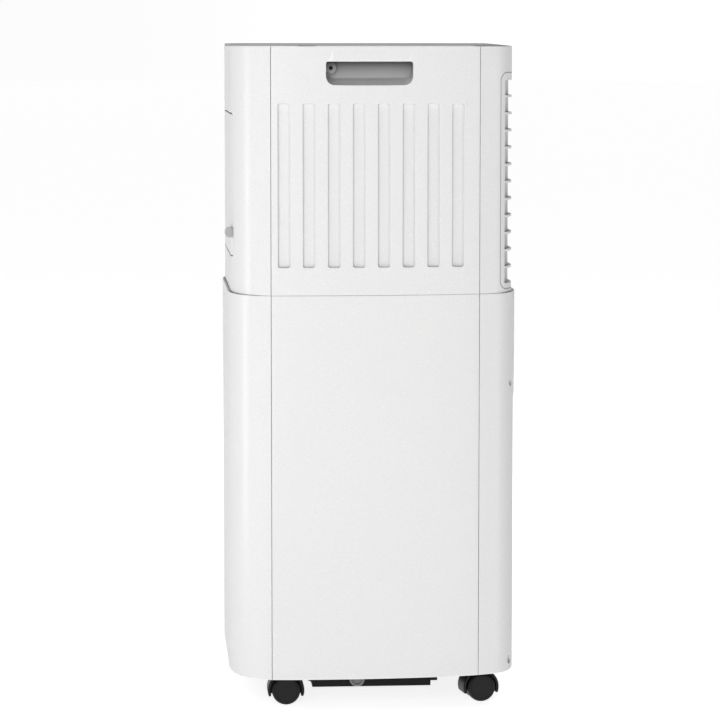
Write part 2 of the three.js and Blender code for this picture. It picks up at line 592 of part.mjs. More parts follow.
function coolingSection() {
  const coil = box(span(100), [100, 124], [468, 652]);
  const plates = span(103).map((x) => box([x - 4, x + 4], [98, 126], [464, 656]));
  part("evaporator", coil.add(join(plates)), ALUMINIUM);

  const deckEdge = within(UPPER, PANEL + 1.5, [SPLIT_Z - 8, SPLIT_Z + 8]);
  const innerEdge = within(UPPER, PANEL + 4, [SPLIT_Z - 6, SPLIT_Z + 20]);
  const pipeSlot = box([117, 137], [-20, 4], [400, 470]);
  part("drip_deck", deckEdge.subtract(innerEdge).subtract(pipeSlot), BLACK);

  const z = BLOWER.z;
  const sides = [470, 666];
  const shell = box(span(118), [DUCT.rear + FIT, 88], sides);
  const roomY = [DUCT.rear + FIT + BOARD, 88 - BOARD];
  const room = box(span(118 - BOARD), roomY, [sides[0] + BOARD, sides[1] - BOARD]);
  const intake = bar("y", 72, [80, 95], [0, z], 20);
  const mouthZ = [DUCT.low + BOARD, DUCT.high - BOARD];
  const mouth = box(span(DUCT.half - BOARD), [DUCT.rear - 1, DUCT.rear + 5], mouthZ);
  const braces = [-40, 40].map((x) => box([x - 6, x + 6], [-48, -42], [sides[0] + 1, sides[1] - 1]));
  const housing = shell.subtract(room).subtract(intake).subtract(mouth).add(join(braces));
  part("blower_housing", housing, INNER_WHITE);
  motor("blower_motor", z, [-41.5, -4], BLOWER.rear - 8, 46);
  part("blower_wheel", drumWheel(BLOWER.wheel, [BLOWER.front, BLOWER.rear], z, 16, 4.6), INNER_WHITE);
}

function heatingSection() {
  const coil = box(span(100), [112, 136], [92, 292]);
  const plates = span(103).map((x) => box([x - 4, x + 4], [110, 138], [88, 296]));
  part("condenser", coil.add(join(plates)), ALUMINIUM);

  // The fan housing: a drum round the wheel with a chimney up to the warm air outlet.
  const { z } = FAN;
  const [front, back] = [42, 96];
  const drum = bar("y", 96, [front, back], [0, z], 24);
  const chimney = box(span(60), [front, back], [z, 430]);
  const drumRoom = bar("y", 94, [front + BOARD, back - BOARD], [0, z], 24);
  const chimneyRoom = box(span(58), [front + BOARD, back - BOARD], [z, 428]);
  const neck = bar("y", 46, [back - 1, HALF_DEPTH - 7.5], [0, EXHAUST.z], 20);
  const neckRoom = bar("y", 44, [back - 4, HALF_DEPTH], [0, EXHAUST.z], 20);
  const intake = bar("y", 68, [back - 5, back + 5], [0, z], 20);
  const shaftHole = bar("y", 6, [front - 5, front + 5], [0, z], 8);
  const shell = drum.add(chimney).add(neck);
  const room = drumRoom.add(chimneyRoom).add(neckRoom);
  part("fan_housing", shell.subtract(room).subtract(intake).subtract(shaftHole), INNER_WHITE);
  motor("fan_motor", z, [4, front - 1], FAN.rear - 8, 40);
  part("fan_wheel", drumWheel(FAN.wheel, [FAN.front, FAN.rear], z, 16, 4.6), INNER_WHITE);

  // The compressor stands on the base pan, with its suction bottle and pipes brazed to it.
  const [x, y] = [-66, -44];
  const can = turned([[0, 62], [44, 62], [50, 70], [50, 212], [36, 234], [0, 238]], 18);
  const feet = box(span(46), span(46), [41.5, 44.5]);
  const legs = [];
  for (const legX of span(30)) {
    for (const legY of span(30)) legs.push(bar("z", 5, [42, 70], [legX, legY], 6));
  }
  const bottle = turned([[0, 92], [17, 100], [17, 200], [0, 210]], 12).translate([62, 26, 0]);
  const body = join([can, feet, ...legs, bottle]).translate([x, y, 0]);
  const hotPipe = tube([
    [x, y, 230],
    [x, y, 262],
    [-30, -36, 292],
    [90, -10, 300],
    [126, 60, 290],
    [129, 112, 252],
    [122, 124, 237],
    [109, 124, 236],
  ], 4, 18);
  const coldPipe = tube([
    [x + 62, y + 26, 204],
    [x + 62, y + 26, 250],
    [60, -12, 370],
    [126, -8, 430],
    [127, -8, 468],
    [127, 90, 490],
    [122, 111, 505],
    [109, 112, 506],
  ], 4, 22);
  const bottleNeck = tube([[x + 62, y + 26, 108], [x + 54, y + 20, 84], [x + 38, y + 8, 90]], 4, 5);
  part("compressor", join([body, hotPipe, coldPipe, bottleNeck]), BLACK);
}

// ---------------------------------------------------------------- casters

// One caster, built with its stem on the local Z axis and its wheels trailing towards +Y.
function caster(name, [x, y], turn) {
  const holder = new THREE.Group();
  holder.position.set(x, y, 0);
  holder.rotation.z = THREE.MathUtils.degToRad(turn);
  group.add(holder);

  const { trail, wheel, hood, halfWidth } = CASTER;
  const axle = [trail, wheel];
  const drop = THREE.MathUtils.degToRad(16);
  const inner = wheel + 1.4;
  const fender = new THREE.Shape();
  fender.absarc(trail, wheel, hood, -drop, Math.PI + drop, false);
  fender.absarc(trail, wheel, inner, Math.PI + drop, -drop, true);
  const web = new THREE.Shape();
  web.absarc(trail, wheel, inner + 0.6, -drop, Math.PI + drop, false);
  const stem = bar("z", 5, [26, BASE_Z + 14], [0, 0], 12);
  const collar = bar("z", 8.5, [26, BASE_Z - 0.8], [0, 0], 14);
  const belowStem = bar("x", inner + 0.3, [-20, 20], axle, 20);
  const post = stem.add(collar).subtract(belowStem);
  const frame = extrude("x", fender, span(halfWidth - 2.5), 6).add(extrude("x", web, span(3.6), 6)).add(post);
  const hole = bar("x", 3.3, span(10), axle, 8);
  part("caster_hood_" + name, frame.subtract(hole), BLACK, holder);
  part("caster_axle_" + name, bar("x", 3, span(12.5), axle, 8), STEEL, holder);

  const tread = [[wheel, 4.4], [wheel, 13], [wheel - 1.5, halfWidth]];
  const rim = turned([[3.5, 4.4], ...tread, [0, halfWidth], [0, 13], [3.5, 13], [3.5, 4.4]], 20);
  for (const [side, tilt] of [["right", 90], ["left", -90]]) {
    const placed = rim.rotate([0, tilt, 0]).translate([0, trail, wheel]);
    part("caster_wheel_" + name + "_" + side, placed, BLACK, holder);
  }
}

function casters() {
  const { x, y } = CASTER;
  caster("front_right", [x, -y], CASTER_TURN.front);
  caster("front_left", [-x, -y], CASTER_TURN.front);
  caster("rear_right", [x, y], CASTER_TURN.rear);
  caster("rear_left", [-x, y], CASTER_TURN.rear);
}

base();
lowerShells();
upperShells();
top();
outlet();
rear();
coolingSection();
heatingSection();
casters();

export default group;
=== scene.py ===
"""The looks of a free-standing dehumidifier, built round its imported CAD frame.

Shapes are worked out in millimetres, in the frame's own directions: the floor is Z 0, the air
outlet is at the front on -Y, the air intake and the warm air outlet are at the rear on +Y.
"""

import json
import math

import bmesh
import bpy
from mathutils import Matrix, Vector


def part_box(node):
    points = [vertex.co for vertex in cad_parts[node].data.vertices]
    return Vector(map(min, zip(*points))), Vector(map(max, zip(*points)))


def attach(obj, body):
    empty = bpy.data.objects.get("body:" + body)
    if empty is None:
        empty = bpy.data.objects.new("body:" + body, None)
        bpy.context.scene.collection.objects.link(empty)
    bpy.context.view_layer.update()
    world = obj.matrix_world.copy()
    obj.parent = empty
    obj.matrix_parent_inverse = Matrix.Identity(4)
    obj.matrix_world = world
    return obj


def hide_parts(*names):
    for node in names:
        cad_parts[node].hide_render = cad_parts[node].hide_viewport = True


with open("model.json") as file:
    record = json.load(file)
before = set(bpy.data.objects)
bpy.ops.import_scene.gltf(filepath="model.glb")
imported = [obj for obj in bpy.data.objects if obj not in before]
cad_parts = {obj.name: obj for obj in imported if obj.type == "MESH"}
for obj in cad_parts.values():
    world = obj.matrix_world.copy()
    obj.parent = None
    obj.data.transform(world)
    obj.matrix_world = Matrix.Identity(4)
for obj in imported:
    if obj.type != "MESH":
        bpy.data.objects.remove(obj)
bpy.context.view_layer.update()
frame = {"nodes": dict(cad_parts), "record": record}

MM = 0.001

# -------- driving dimensions, in mm

FIT = 0.3
SEAM = 0.7
HALF_DEPTH = 151.0
UPPER_HALF_DEPTH = 148.1
BASE_Z = 36.5
SPLIT_Z = 440.3
SHOULDER_Z = 696.7
TOP_Z = 699.7
SHELL = 2.6
PANEL = 5.0

FRONT_FLAT = 88.5
FRONT_SEAM = (163.6, -108.5)
REAR_SEAM = (153.1, 109.4)
REAR_FACET = (145.5, 129.5)
REAR_FLAT = 100.0
CORNER_STEPS = 28
SIDE_STEPS = 40

GROOVE_COUNT = 8
GROOVE_FIRST = -101.3
GROOVE_PITCH = 25.87
GROOVE_WIDTH = 12.6
GROOVE_Z = (468.8, 638.1)
GROOVE_DEPTH = 3.9

HANDLE_Y = (-51.5, 38.7)
HANDLE_Z = (657.0, 681.0)
HANDLE_INNER = 145.0
HANDLE_ROUND = 9.0
HANDLE_TOP_ROUND = 2.5
HANDLE_BOSS_AT = (-45.7, 674.4)
HANDLE_BOSS_RADIUS = 6.15
HANDLE_BOSS_END = 151.0

FLAP_HALF = 114.0
FLAP_Z = (478.5, 626.0)
FLAP_THICK = 3.0
FLAP_ROUND = 5.0
FLAP_PIVOT = (-138.0, 502.0)
FLAP_ARM_X = 101.0
LUG_AT = (-149.3, 502.6)
LUG_RADIUS = 5.2

INTAKE_HALF = 143.4
INTAKE_Z = (443.4, 670.0)
INTAKE_ROUND = 8.0
INTAKE_GAP = 0.9
FIN_GAPS = 12
FIN_LOW = 449.6
FIN_PITCH = 17.84
FIN_THICK = 2.1
FIN_HALF = 137.5
FIN_DEPTH = 4.2
GRILLE_DEPTH = 6.0
WINDOW_HALF = 96.0

EXHAUST_HALF = 78.0
EXHAUST_Z = (323.0, 439.0)
EXHAUST_FACE = 155.0
MOUTH_RADIUS = 48.0
MOUTH_Z = 383.0
DRAIN_CAP_AT = (50.0, 309.0)
GLAND_AT = (-96.0, 72.0)

# -------- what the frame says

BODY_OF = {}
for body, members in frame["record"]["behaviour"]["bodies"].items():
    for node in members:
        BODY_OF[node] = body

SLOT_OF = {row["node"]: row["material_slot"] for row in frame["record"]["subparts"]}

# -------- finishes

DRIFT_SCALE = 9.0
GRAIN_SCALE = 900.0
GRAIN_HEIGHT = 0.0001


def noise(tree, place, scale, detail):
    node = tree.nodes.new("ShaderNodeTexNoise")
    node.inputs["Scale"].default_value = scale
    node.inputs["Detail"].default_value = detail
    tree.links.new(place.outputs["Object"], node.inputs["Vector"])
    return node.outputs["Fac"]


def map_range(tree, value, source, target, interpolation="LINEAR"):
    """The value, taken from one pair of limits to another."""
    node = tree.nodes.new("ShaderNodeMapRange")
    node.interpolation_type = interpolation
    node.inputs["From Min"].default_value, node.inputs["From Max"].default_value = source
    node.inputs["To Min"].default_value, node.inputs["To Max"].default_value = target
    tree.links.new(value, node.inputs["Value"])
    return node.outputs["Result"]


def dimmed(tree, colour, share):
    """The colour times a share that varies over the surface."""
    node = tree.nodes.new("ShaderNodeVectorMath")
    node.operation = "SCALE"
    tree.links.new(colour, node.inputs["Vector"])
    tree.links.new(share, node.inputs["Scale"])
    return node.outputs["Vector"]


def maths(tree, operation, *values):
    """A sum on plain numbers and other nodes' outputs."""
    node = tree.nodes.new("ShaderNodeMath")
    node.operation = operation
    for socket, value in zip(node.inputs, values):
        if isinstance(value, bpy.types.NodeSocket):
            tree.links.new(value, socket)
        else:
            socket.default_value = value
    return node.outputs["Value"]


def moulded(
    name, colour, roughness, shade=0.1, grain=0.06, specular=0.4, metallic=0.0, coat=0.0,
    crevice=0.0, reach=20, fade=None,
):
    """A moulded or painted surface: fine grain in bump and gloss, and a slow drift in colour.

    A crevice above 0 paints shade: it darkens the colour by up to that share where other surfaces
    stand within the reach, in mm. A fade lists a low and a high height in mm, and the colour's share
    left at each, which paints light and shade by height.
    """
    material = bpy.data.materials.new(name)
    material.use_nodes = True
    tree = material.node_tree
    nodes = tree.nodes
    links = tree.links
    shader = nodes["Principled BSDF"]
    shader.inputs["Metallic"].default_value = metallic
    shader.inputs["Specular IOR Level"].default_value = specular
    shader.inputs["Coat Weight"].default_value = coat
    place = nodes.new("ShaderNodeTexCoord")

    drift = nodes.new("ShaderNodeMix")
    drift.data_type = "RGBA"
    drift.inputs["A"].default_value = (*(c * (1 - shade) for c in colour), 1)
    drift.inputs["B"].default_value = (*(min(1, c * (1 + shade)) for c in colour), 1)
    links.new(noise(tree, place, DRIFT_SCALE, 3.0), drift.inputs["Factor"])
    result = drift.outputs["Result"]
    # Painted shade: the colour darkens where other surfaces stand within the reach.
    if crevice:
        near = nodes.new("ShaderNodeAmbientOcclusion")
        near.samples = 8
        near.inputs["Distance"].default_value = reach * MM
        result = dimmed(tree, result, map_range(tree, near.outputs["AO"], (0.25, 0.95), (1 - crevice, 1.0)))
    # Painted light and shade by height: the colour's share changes from the low height to the high one.
    if fade:
        low, high, share_low, share_high = fade
        split = nodes.new("ShaderNodeSeparateXYZ")
        links.new(place.outputs["Object"], split.inputs["Vector"])
        share = map_range(tree, split.outputs["Z"], (low * MM, high * MM), (share_low, share_high))
        result = dimmed(tree, result, share)
    links.new(result, shader.inputs["Base Color"])

    speckle = noise(tree, place, GRAIN_SCALE, 2.0)
    gloss = map_range(tree, speckle, (0, 1), (roughness * 0.92, min(1.0, roughness * 1.08)))
    links.new(gloss, shader.inputs["Roughness"])
    bump = nodes.new("ShaderNodeBump")
    bump.inputs["Strength"].default_value = grain
    bump.inputs["Distance"].default_value = GRAIN_HEIGHT
    links.new(speckle, bump.inputs["Height"])
    links.new(bump.outputs["Normal"], shader.inputs["Normal"])
    return material


FINISHES = {
    # The white shells get painted shade in their seams, grooves and other crevices.
    "shell_white": moulded(
        "white_plastic", (0.80, 0.80, 0.798), 0.27, shade=0.006, grain=0.015, specular=0.0,
        metallic=0.07, crevice=0.3, reach=2.5,
    ),
    "inner_white": moulded("inner_plastic", (0.66, 0.66, 0.655), 0.5, shade=0.01),
    "cover_grey": moulded("grey_plastic", (0.34, 0.345, 0.35), 0.5, shade=0.02, grain=0.12, specular=0.3),
    "base_black": moulded("black_plastic", (0.009, 0.009, 0.0094), 0.55, grain=0.15, specular=0.2),
    "lens_black": moulded("lens_gloss", (0.008, 0.008, 0.009), 0.08, grain=0.01, coat=0.6),
    "button_grey": moulded("button_plastic", (0.55, 0.56, 0.57), 0.4, shade=0.02),
    "filter_mesh": moulded("filter_plastic", (0.15, 0.16, 0.17), 0.75, grain=0.2),
    "steel": moulded("zinc_steel", (0.55, 0.56, 0.57), 0.32, shade=0.08, grain=0.1, metallic=1.0),
    "aluminium": moulded("fin_aluminium", (0.72, 0.73, 0.74), 0.36, shade=0.06, grain=0.1, metallic=1.0),
    "board_green": moulded("solder_mask", (0.02, 0.1, 0.05), 0.35, shade=0.15),
    "compressor_black": moulded("satin_paint", (0.02, 0.02, 0.022), 0.35, shade=0.15, coat=0.3),
    "plug_grey": moulded("grey_rubber", (0.25, 0.25, 0.255), 0.6, shade=0.05, grain=0.15, specular=0.25),
    "caster_black": moulded("caster_plastic", (0.014, 0.014, 0.0145), 0.42, grain=0.08, specular=0.22),
    "axle_steel": moulded("axle_steel", (0.6, 0.6, 0.61), 0.3, shade=0.05, metallic=1.0),
}

# The handle cups' grey, with painted shade that deepens towards the roof and painted light at the floor, and
# painted shade in the cups' crevices.
CUP_GREY = moulded(
    "cup_plastic", (0.62, 0.62, 0.623), 0.5, shade=0.02, grain=0.12, specular=0.2,
    crevice=0.15, reach=10, fade=(656, 681, 1.15, 0.15),
)
# Painted shade for the lug's end and the flap's edge below it.
LUG_SHADE = moulded("lug_painted_shade", (0.42, 0.42, 0.418), 0.5, shade=0.01, grain=0.05, specular=0.25)
# Painted shade for the blind ends of the intake gaps.
LINING_SHADE = moulded("lining_painted_shade", (0.54, 0.54, 0.54), 0.6, shade=0.03, grain=0.1, specular=0.2)
# Painted shade for the gap round the intake insert.
SEAL_SHADE = moulded("seal_painted_shade", (0.3, 0.3, 0.3), 0.7, shade=0.05, grain=0.1, specular=0.2)

for node, cad in frame["nodes"].items():
    for material_slot in cad.material_slots:
        material_slot.material = FINISHES[SLOT_OF[node]]

# -------- shapes
# A shape is a list of points in mm and a list of faces. Shapes lie side by side in one mesh, or
# are cut by one another as solids.


def loft(rings, loop=False):
    """A solid through closed rings of equal counts: capped at both ends, or looped on itself."""
    count = len(rings[0])
    points = [Vector(p) for ring in rings for p in ring]
    faces = []
    for k in range(len(rings) if loop else len(rings) - 1):
        here = k * count
        there = (k + 1) % len(rings) * count
        for i in range(count):
            j = (i + 1) % count
            faces.append((here + i, here + j, there + j, there + i))
    if not loop:
        faces.append(tuple(reversed(range(count))))
        faces.append(tuple((len(rings) - 1) * count + i for i in range(count)))
    return points, faces


def together(*shapes):
    points, faces = [], []
    for more_points, more_faces in shapes:
        start = len(points)
        points += more_points
        faces += [tuple(start + i for i in face) for face in more_faces]
    return points, faces


def moved(shape, matrix):
    return [matrix @ p for p in shape[0]], shape[1]


def mirrored(shape):
    return [Vector((-p.x, p.y, p.z)) for p in shape[0]], shape[1]


def mesh_of(name, shape):
    points, faces = shape
    mesh = bpy.data.meshes.new(name)
    mesh.from_pydata([p * MM for p in points], [], faces)
    form = bmesh.new()
    form.from_mesh(mesh)
    bmesh.ops.remove_doubles(form, verts=form.verts, dist=1e-7)
    bmesh.ops.recalc_face_normals(form, faces=form.faces)
    form.to_mesh(mesh)
    form.free()
    return mesh


def in_scene(name, mesh):
    thing = bpy.data.objects.new(name, mesh)
    bpy.context.scene.collection.objects.link(thing)
    return thing


def carved(shape, *cutters, joined=()):
    """The shape with solids added to it and others cut from it, as a shape again."""
    thing = in_scene("work", mesh_of("work", shape))
    tools = []
    for operation, group in (("UNION", joined), ("DIFFERENCE", cutters)):
        for tool_shape in group:
            tool = in_scene("tool", mesh_of("tool", tool_shape))
            modifier = thing.modifiers.new("solid", "BOOLEAN")
            modifier.operation = operation
            modifier.solver = "EXACT"
            modifier.object = tool
            tools.append(tool)
    bpy.context.view_layer.update()
    result = thing.evaluated_get(bpy.context.evaluated_depsgraph_get()).to_mesh()
    points = [v.co / MM for v in result.vertices]
    faces = [tuple(p.vertices) for p in result.polygons]
    for used in [thing, *tools]:
        bpy.data.objects.remove(used)
    return points, faces


def finished(name, shape, body, slot, sharp=32, look=None):
    """A visible piece: smooth where it curves, crisp where it turns, riding on a body."""
    mesh = mesh_of(name, shape)
    mesh.shade_smooth()
    mesh.set_sharp_from_angle(angle=math.radians(sharp))
    mesh.materials.append(look or FINISHES[slot])
    piece = in_scene(name, mesh)
    normals = piece.modifiers.new("normals", "WEIGHTED_NORMAL")
    normals.keep_sharp = True
    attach(piece, body)
    return piece


def stand_for(node, shape, sharp=32, look=None):
    """A finished piece shown in place of one CAD node."""
    piece = finished(node + "_form", shape, BODY_OF[node], SLOT_OF[node], sharp, look)
    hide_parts(node)
    return piece


# -------- outlines and lofts along an axis


def at(axis, a, b, t):
    """The point at t along an axis; a and b are the other two coordinates, in order."""
    return {"x": (t, a, b), "y": (a, t, b), "z": (a, b, t)}[axis]


def rounded(low, high, low_round, high_round=None, steps=4):
    """Places along a loft, each with how far its outline is drawn in, for rounded ends."""
    high_round = low_round if high_round is None else high_round
    turns = [math.pi / 2 * i / steps for i in range(steps + 1)]
    places = [(low + low_round * (1 - math.cos(t)), low_round * (1 - math.sin(t))) for t in turns]
    places += [(high - high_round * (1 - math.sin(t)), high_round * (1 - math.cos(t))) for t in turns]
    return places


def rounded_rect(a, b, low_round, high_round=None, steps=6):
    """A function from draw-in to a rectangle outline with round corners."""
    high_round = low_round if high_round is None else high_round

    def outline(draw_in):
        points = []
        corners = (
            (a[1], b[0], -1, 1, low_round, -90),
            (a[1], b[1], -1, -1, high_round, 0),
            (a[0], b[1], 1, -1, high_round, 90),
            (a[0], b[0], 1, 1, low_round, 180),
        )
        for ca, cb, sa, sb, radius, start in corners:
            reach = max(radius, draw_in + 0.02)
            for i in range(steps + 1):
                angle = math.radians(start + 90 * i / steps)
                points.append((
                    ca + sa * reach + (reach - draw_in) * math.cos(angle),
                    cb + sb * reach + (reach - draw_in) * math.sin(angle),
                ))
        return points

    return outline


def circle(a, b, radius, sides=40):
    def outline(draw_in):
        turns = [2 * math.pi * i / sides for i in range(sides)]
        reach = radius - draw_in
        return [(a + reach * math.cos(t), b + reach * math.sin(t)) for t in turns]

    return outline


def prism(axis, outline, places):
    return loft([[at(axis, a, b, t) for a, b in outline(draw_in)] for t, draw_in in places])


def lathe(axis, centre, profile, sides=40, loop=False):
    """A turned shape: the profile lists (radius, place along the axis)."""
    rings = []
    for radius, t in profile:
        rings.append([at(axis, a, b, t) for a, b in circle(*centre, max(radius, 0), sides)(0)])
    return loft(rings, loop)


def box(x, y, z, soft=0.0):
    places = rounded(*z, soft, steps=3) if soft else [(z[0], 0), (z[1], 0)]
    corner = soft or 0.01
    return prism("z", rounded_rect(x, y, corner, steps=3 if soft else 1), places)


# -------- plan of the housing


def bezier(p0, p1, p2, p3, steps):
    points = []
    for i in range(steps + 1):
        t = i / steps
        s = 1 - t
        weights = (s * s * s, 3 * s * s * t, 3 * s * t * t, t * t * t)
        points.append(sum((Vector(p) * w for p, w in zip((p0, p1, p2, p3), weights)), Vector((0, 0))))
    return points


def squeezed(point, half_depth):
    """The point moved in along Y, where it lies in front of or behind the seams, to fit a depth."""
    seam = FRONT_SEAM[1] if point.y < 0 else REAR_SEAM[1]
    if abs(point.y) <= abs(seam):
        return point
    room = (half_depth - abs(seam)) / (HALF_DEPTH - abs(seam))
    return Vector((point.x, seam + (point.y - seam) * room))


def plan_runs(half_depth):
    """Front, right and rear runs of the outline, anticlockwise from above; the left mirrors the right."""
    front = (FRONT_FLAT, -HALF_DEPTH)
    corner = bezier(front, (128.5, -HALF_DEPTH), (157.3, -136.8), FRONT_SEAM, CORNER_STEPS)
    side = bezier(FRONT_SEAM, (169, -60), (166.5, 62), REAR_SEAM, SIDE_STEPS)
    rear = bezier(REAR_FACET, (141, 141.5), (119, HALF_DEPTH), (REAR_FLAT, HALF_DEPTH), CORNER_STEPS)
    facet = [Vector(REAR_SEAM).lerp(Vector(REAR_FACET), i / 4) for i in range(4)]

    def fit(points):
        return [squeezed(p, half_depth) for p in points]

    def other_side(points):
        return [Vector((-p.x, p.y)) for p in reversed(points)]

    corner, side, rear = fit(corner), fit(side), fit(facet + rear)
    return {"front": other_side(corner) + corner, "right": side, "rear": rear + other_side(rear)}


LOWER = plan_runs(HALF_DEPTH)
UPPER = plan_runs(UPPER_HALF_DEPTH)


def inward(points, closed=False):
    """Unit normals on the left of travel, stretched so that offset edges stay parallel."""
    normals = []
    last = len(points) - 1
    for i, p in enumerate(points):
        before = points[i - 1] if i > 0 or closed else None
        after = points[(i + 1) % len(points)] if i < last or closed else None
        arriving = (p - before).normalized() if before is not None else (after - p).normalized()
        leaving = (after - p).normalized() if after is not None else arriving
        middle = (arriving + leaving).normalized()
        normals.append(Vector((-middle.y, middle.x)) / middle.dot(arriving))
    return normals


SOFT_EDGE = 0.2
LIP_DEPTH = 1.9
LIP_PULL = 0.15 - SEAM / 2
SOFT_CORNER = ((SEAM / 2 + SOFT_EDGE, 0), (SEAM / 2 + 0.06, 0.06), (SEAM / 2, SOFT_EDGE))
PLAIN_END = (*SOFT_CORNER, (SEAM / 2, SHELL))
LIP_END = (*SOFT_CORNER, (SEAM / 2, LIP_DEPTH), (LIP_PULL, LIP_DEPTH), (LIP_PULL, PANEL))


def wall_outline(run, thick, outer, end):
    """A wall's section along a run: end lists (pull back from the seam, depth) outside to inside."""
    normals = inward(run)

    def edge(point, along, normal):
        return [point + along * pull + normal * min(max(depth, outer), thick) for pull, depth in end]

    first = edge(run[0], (run[1] - run[0]).normalized(), normals[0])
    last = edge(run[-1], (run[-2] - run[-1]).normalized(), normals[-1])
    face = [p + n * outer for p, n in zip(run[1:-1], normals[1:-1])]
    back = [p + n * thick for p, n in zip(run[1:-1], normals[1:-1])]
    return first[::-1] + face + last + back[::-1]


def wall(run, thick, levels, end):
    """A wall along a run; levels lists (height, draw-in of the outer face)."""
    return loft([[(p.x, p.y, z) for p in wall_outline(run, thick, outer, end)] for z, outer in levels])


def between(pairs, place):
    """The second value at a place, from pairs with rising first values; level past both ends."""
    if place <= pairs[0][0]:
        return pairs[0][1]
    for (a, value_a), (b, value_b) in zip(pairs, pairs[1:]):
        if place <= b:
            return value_a + (value_b - value_a) * (place - a) / (b - a)
    return pairs[-1][1]


def side_x(y, depth=0.0):
    """How far out the right side's face is at a depth, at y."""
    return between([(p.y, p.x) for p in UPPER["right"]], y) - depth


def front_y(x, depth=0.0):
    """Where the upper front face is at x, moved in by a depth."""
    return between([(p.x, p.y) for p in UPPER["front"] if p.x > 0], abs(x)) + depth


def lower_rear_y(x):
    """Where the lower rear face is at x."""
    return between(sorted((p.x, p.y) for p in LOWER["rear"] if p.x > 0), abs(x))


# -------- outer shells


TIER_GAP = (SPLIT_Z - 0.65, SPLIT_Z - 0.3)  # the joint between the tiers
TIER_LIP = 1.0


def lower_levels(top_lip):
    levels = rounded(BASE_Z, TIER_GAP[0], 1.2, SOFT_EDGE, steps=3)
    if top_lip:
        levels += [(TIER_GAP[0], TIER_LIP), (TIER_GAP[1] - 0.1, TIER_LIP)]
    return levels


def upper_levels(bottom_lip):
    levels = rounded(TIER_GAP[1], SHOULDER_Z, SOFT_EDGE, 0.3, steps=3)
    if bottom_lip:
        levels = [(TIER_GAP[0] + 0.1, TIER_LIP), (TIER_GAP[1], TIER_LIP)] + levels
    return levels


def round_cutter(x, z, radius, flare=0.5):
    """A round hole through the flat rear, with a soft outer edge."""
    y = HALF_DEPTH
    near = flare * 0.3
    places = [(y - 12, 0), (y - flare, 0), (y - near, -near), (y, -flare), (y + 1.5, -flare - 1.5)]
    return prism("y", circle(x, z, radius), places)


LOUVRE_COUNT = 12
LOUVRE_HALF = 96.0
LOUVRE_FIRST = 100.0
LOUVRE_PITCH = 15.5
LOUVRE_HEIGHT = 6.0
SCREW_PLACES = [(x, z) for x in (-126.6, 126.6) for z in (48.7, 345.4)]
RECESS_RADIUS = 5.3
RECESS_FLOOR = 141.0


def screw_boss(x, z):
    """A boss behind the shell's corner that the recess for a screw is sunk into."""
    around = circle(x, z, RECESS_RADIUS + 2, 36)(0)
    inner = [(a, RECESS_FLOOR - 4, b) for a, b in around]
    outer = [(a, lower_rear_y(a) - 1, b) for a, b in around]
    return loft([inner, outer])


def screw_recess(x, z):
    floor = RECESS_FLOOR
    places = [(floor, 0.8), (floor + 0.3, 0.2), (floor + 0.9, 0), (160, 0)]
    return prism("y", circle(x, z, RECESS_RADIUS, 36), places)


def lower_shells():
    stand_for("lower_front_shell", wall(LOWER["front"], SHELL, lower_levels(False), PLAIN_END))
    panel = wall(LOWER["right"], PANEL, lower_levels(True), LIP_END)
    stand_for("lower_side_panel_right", panel)
    stand_for("lower_side_panel_left", mirrored(panel))

    y = HALF_DEPTH
    depths = [(y - 6, 0), (y - 0.6, 0), (y - 0.2, -0.2), (y, -0.6), (y + 2, -2.6)]
    across = (-LOUVRE_HALF, LOUVRE_HALF)
    slots = []
    for i in range(LOUVRE_COUNT):
        low = LOUVRE_FIRST + i * LOUVRE_PITCH
        slots.append(prism("y", rounded_rect(across, (low, low + LOUVRE_HEIGHT), 2.6, steps=4), depths))
    holes = [
        round_cutter(0, MOUTH_Z, MOUTH_RADIUS + 2),
        round_cutter(*DRAIN_CAP_AT, 7),
        round_cutter(*GLAND_AT, 6.5),
    ]
    screws = [screw_recess(*place) for place in SCREW_PLACES]
    backs = [screw_boss(*place) for place in SCREW_PLACES]
    rear = wall(LOWER["rear"], SHELL, lower_levels(False), PLAIN_END)
    rear = carved(rear, together(*slots), together(*holes), together(*screws), joined=[together(*backs)])
    stand_for("lower_rear_shell", rear)


OUTLET_Z = (FLAP_Z[0] - 1.4, FLAP_Z[1] + 1.5)


def outlet_outline(draw_in):
    """The opening behind the flap, with its gaps above, below and beside the flap."""
    return rounded_rect((-FLAP_HALF - 0.5, FLAP_HALF + 0.5), OUTLET_Z, 5.5)(draw_in)


def outlet_gap_shade():
    """A dark band behind the gap round the flap: painted shade, seen as a line in the gap."""
    half = FLAP_HALF + 2.8
    low, high = OUTLET_Z
    section = ((0.9, low), (0.9, high), (2.4, high), (2.4, low))
    band = loft([[(x, front_y(x, depth), z) for depth, z in section] for x in front_places(half)])
    around = rounded_rect(
        (-FLAP_HALF - 0.2, FLAP_HALF + 0.2), (FLAP_Z[0] - 0.2, FLAP_Z[1] + 0.2), FLAP_ROUND, steps=8
    )
    room = prism("y", around, [(-170, 0), (-120, 0)])
    finished("outlet_gap_shade", carved(band, room), "cabinet", "base_black")


def handle_outline(draw_in, low=HANDLE_Z[0]):
    outline = rounded_rect(HANDLE_Y, (low, HANDLE_Z[1]), HANDLE_ROUND, HANDLE_TOP_ROUND, steps=10)
    return outline(draw_in)


def side_cutter(outline, profile):
    """A cutter through the right side's face; the profile lists (depth, draw-in)."""
    return loft([[(side_x(a, depth), a, b) for a, b in outline(draw_in)] for depth, draw_in in profile])


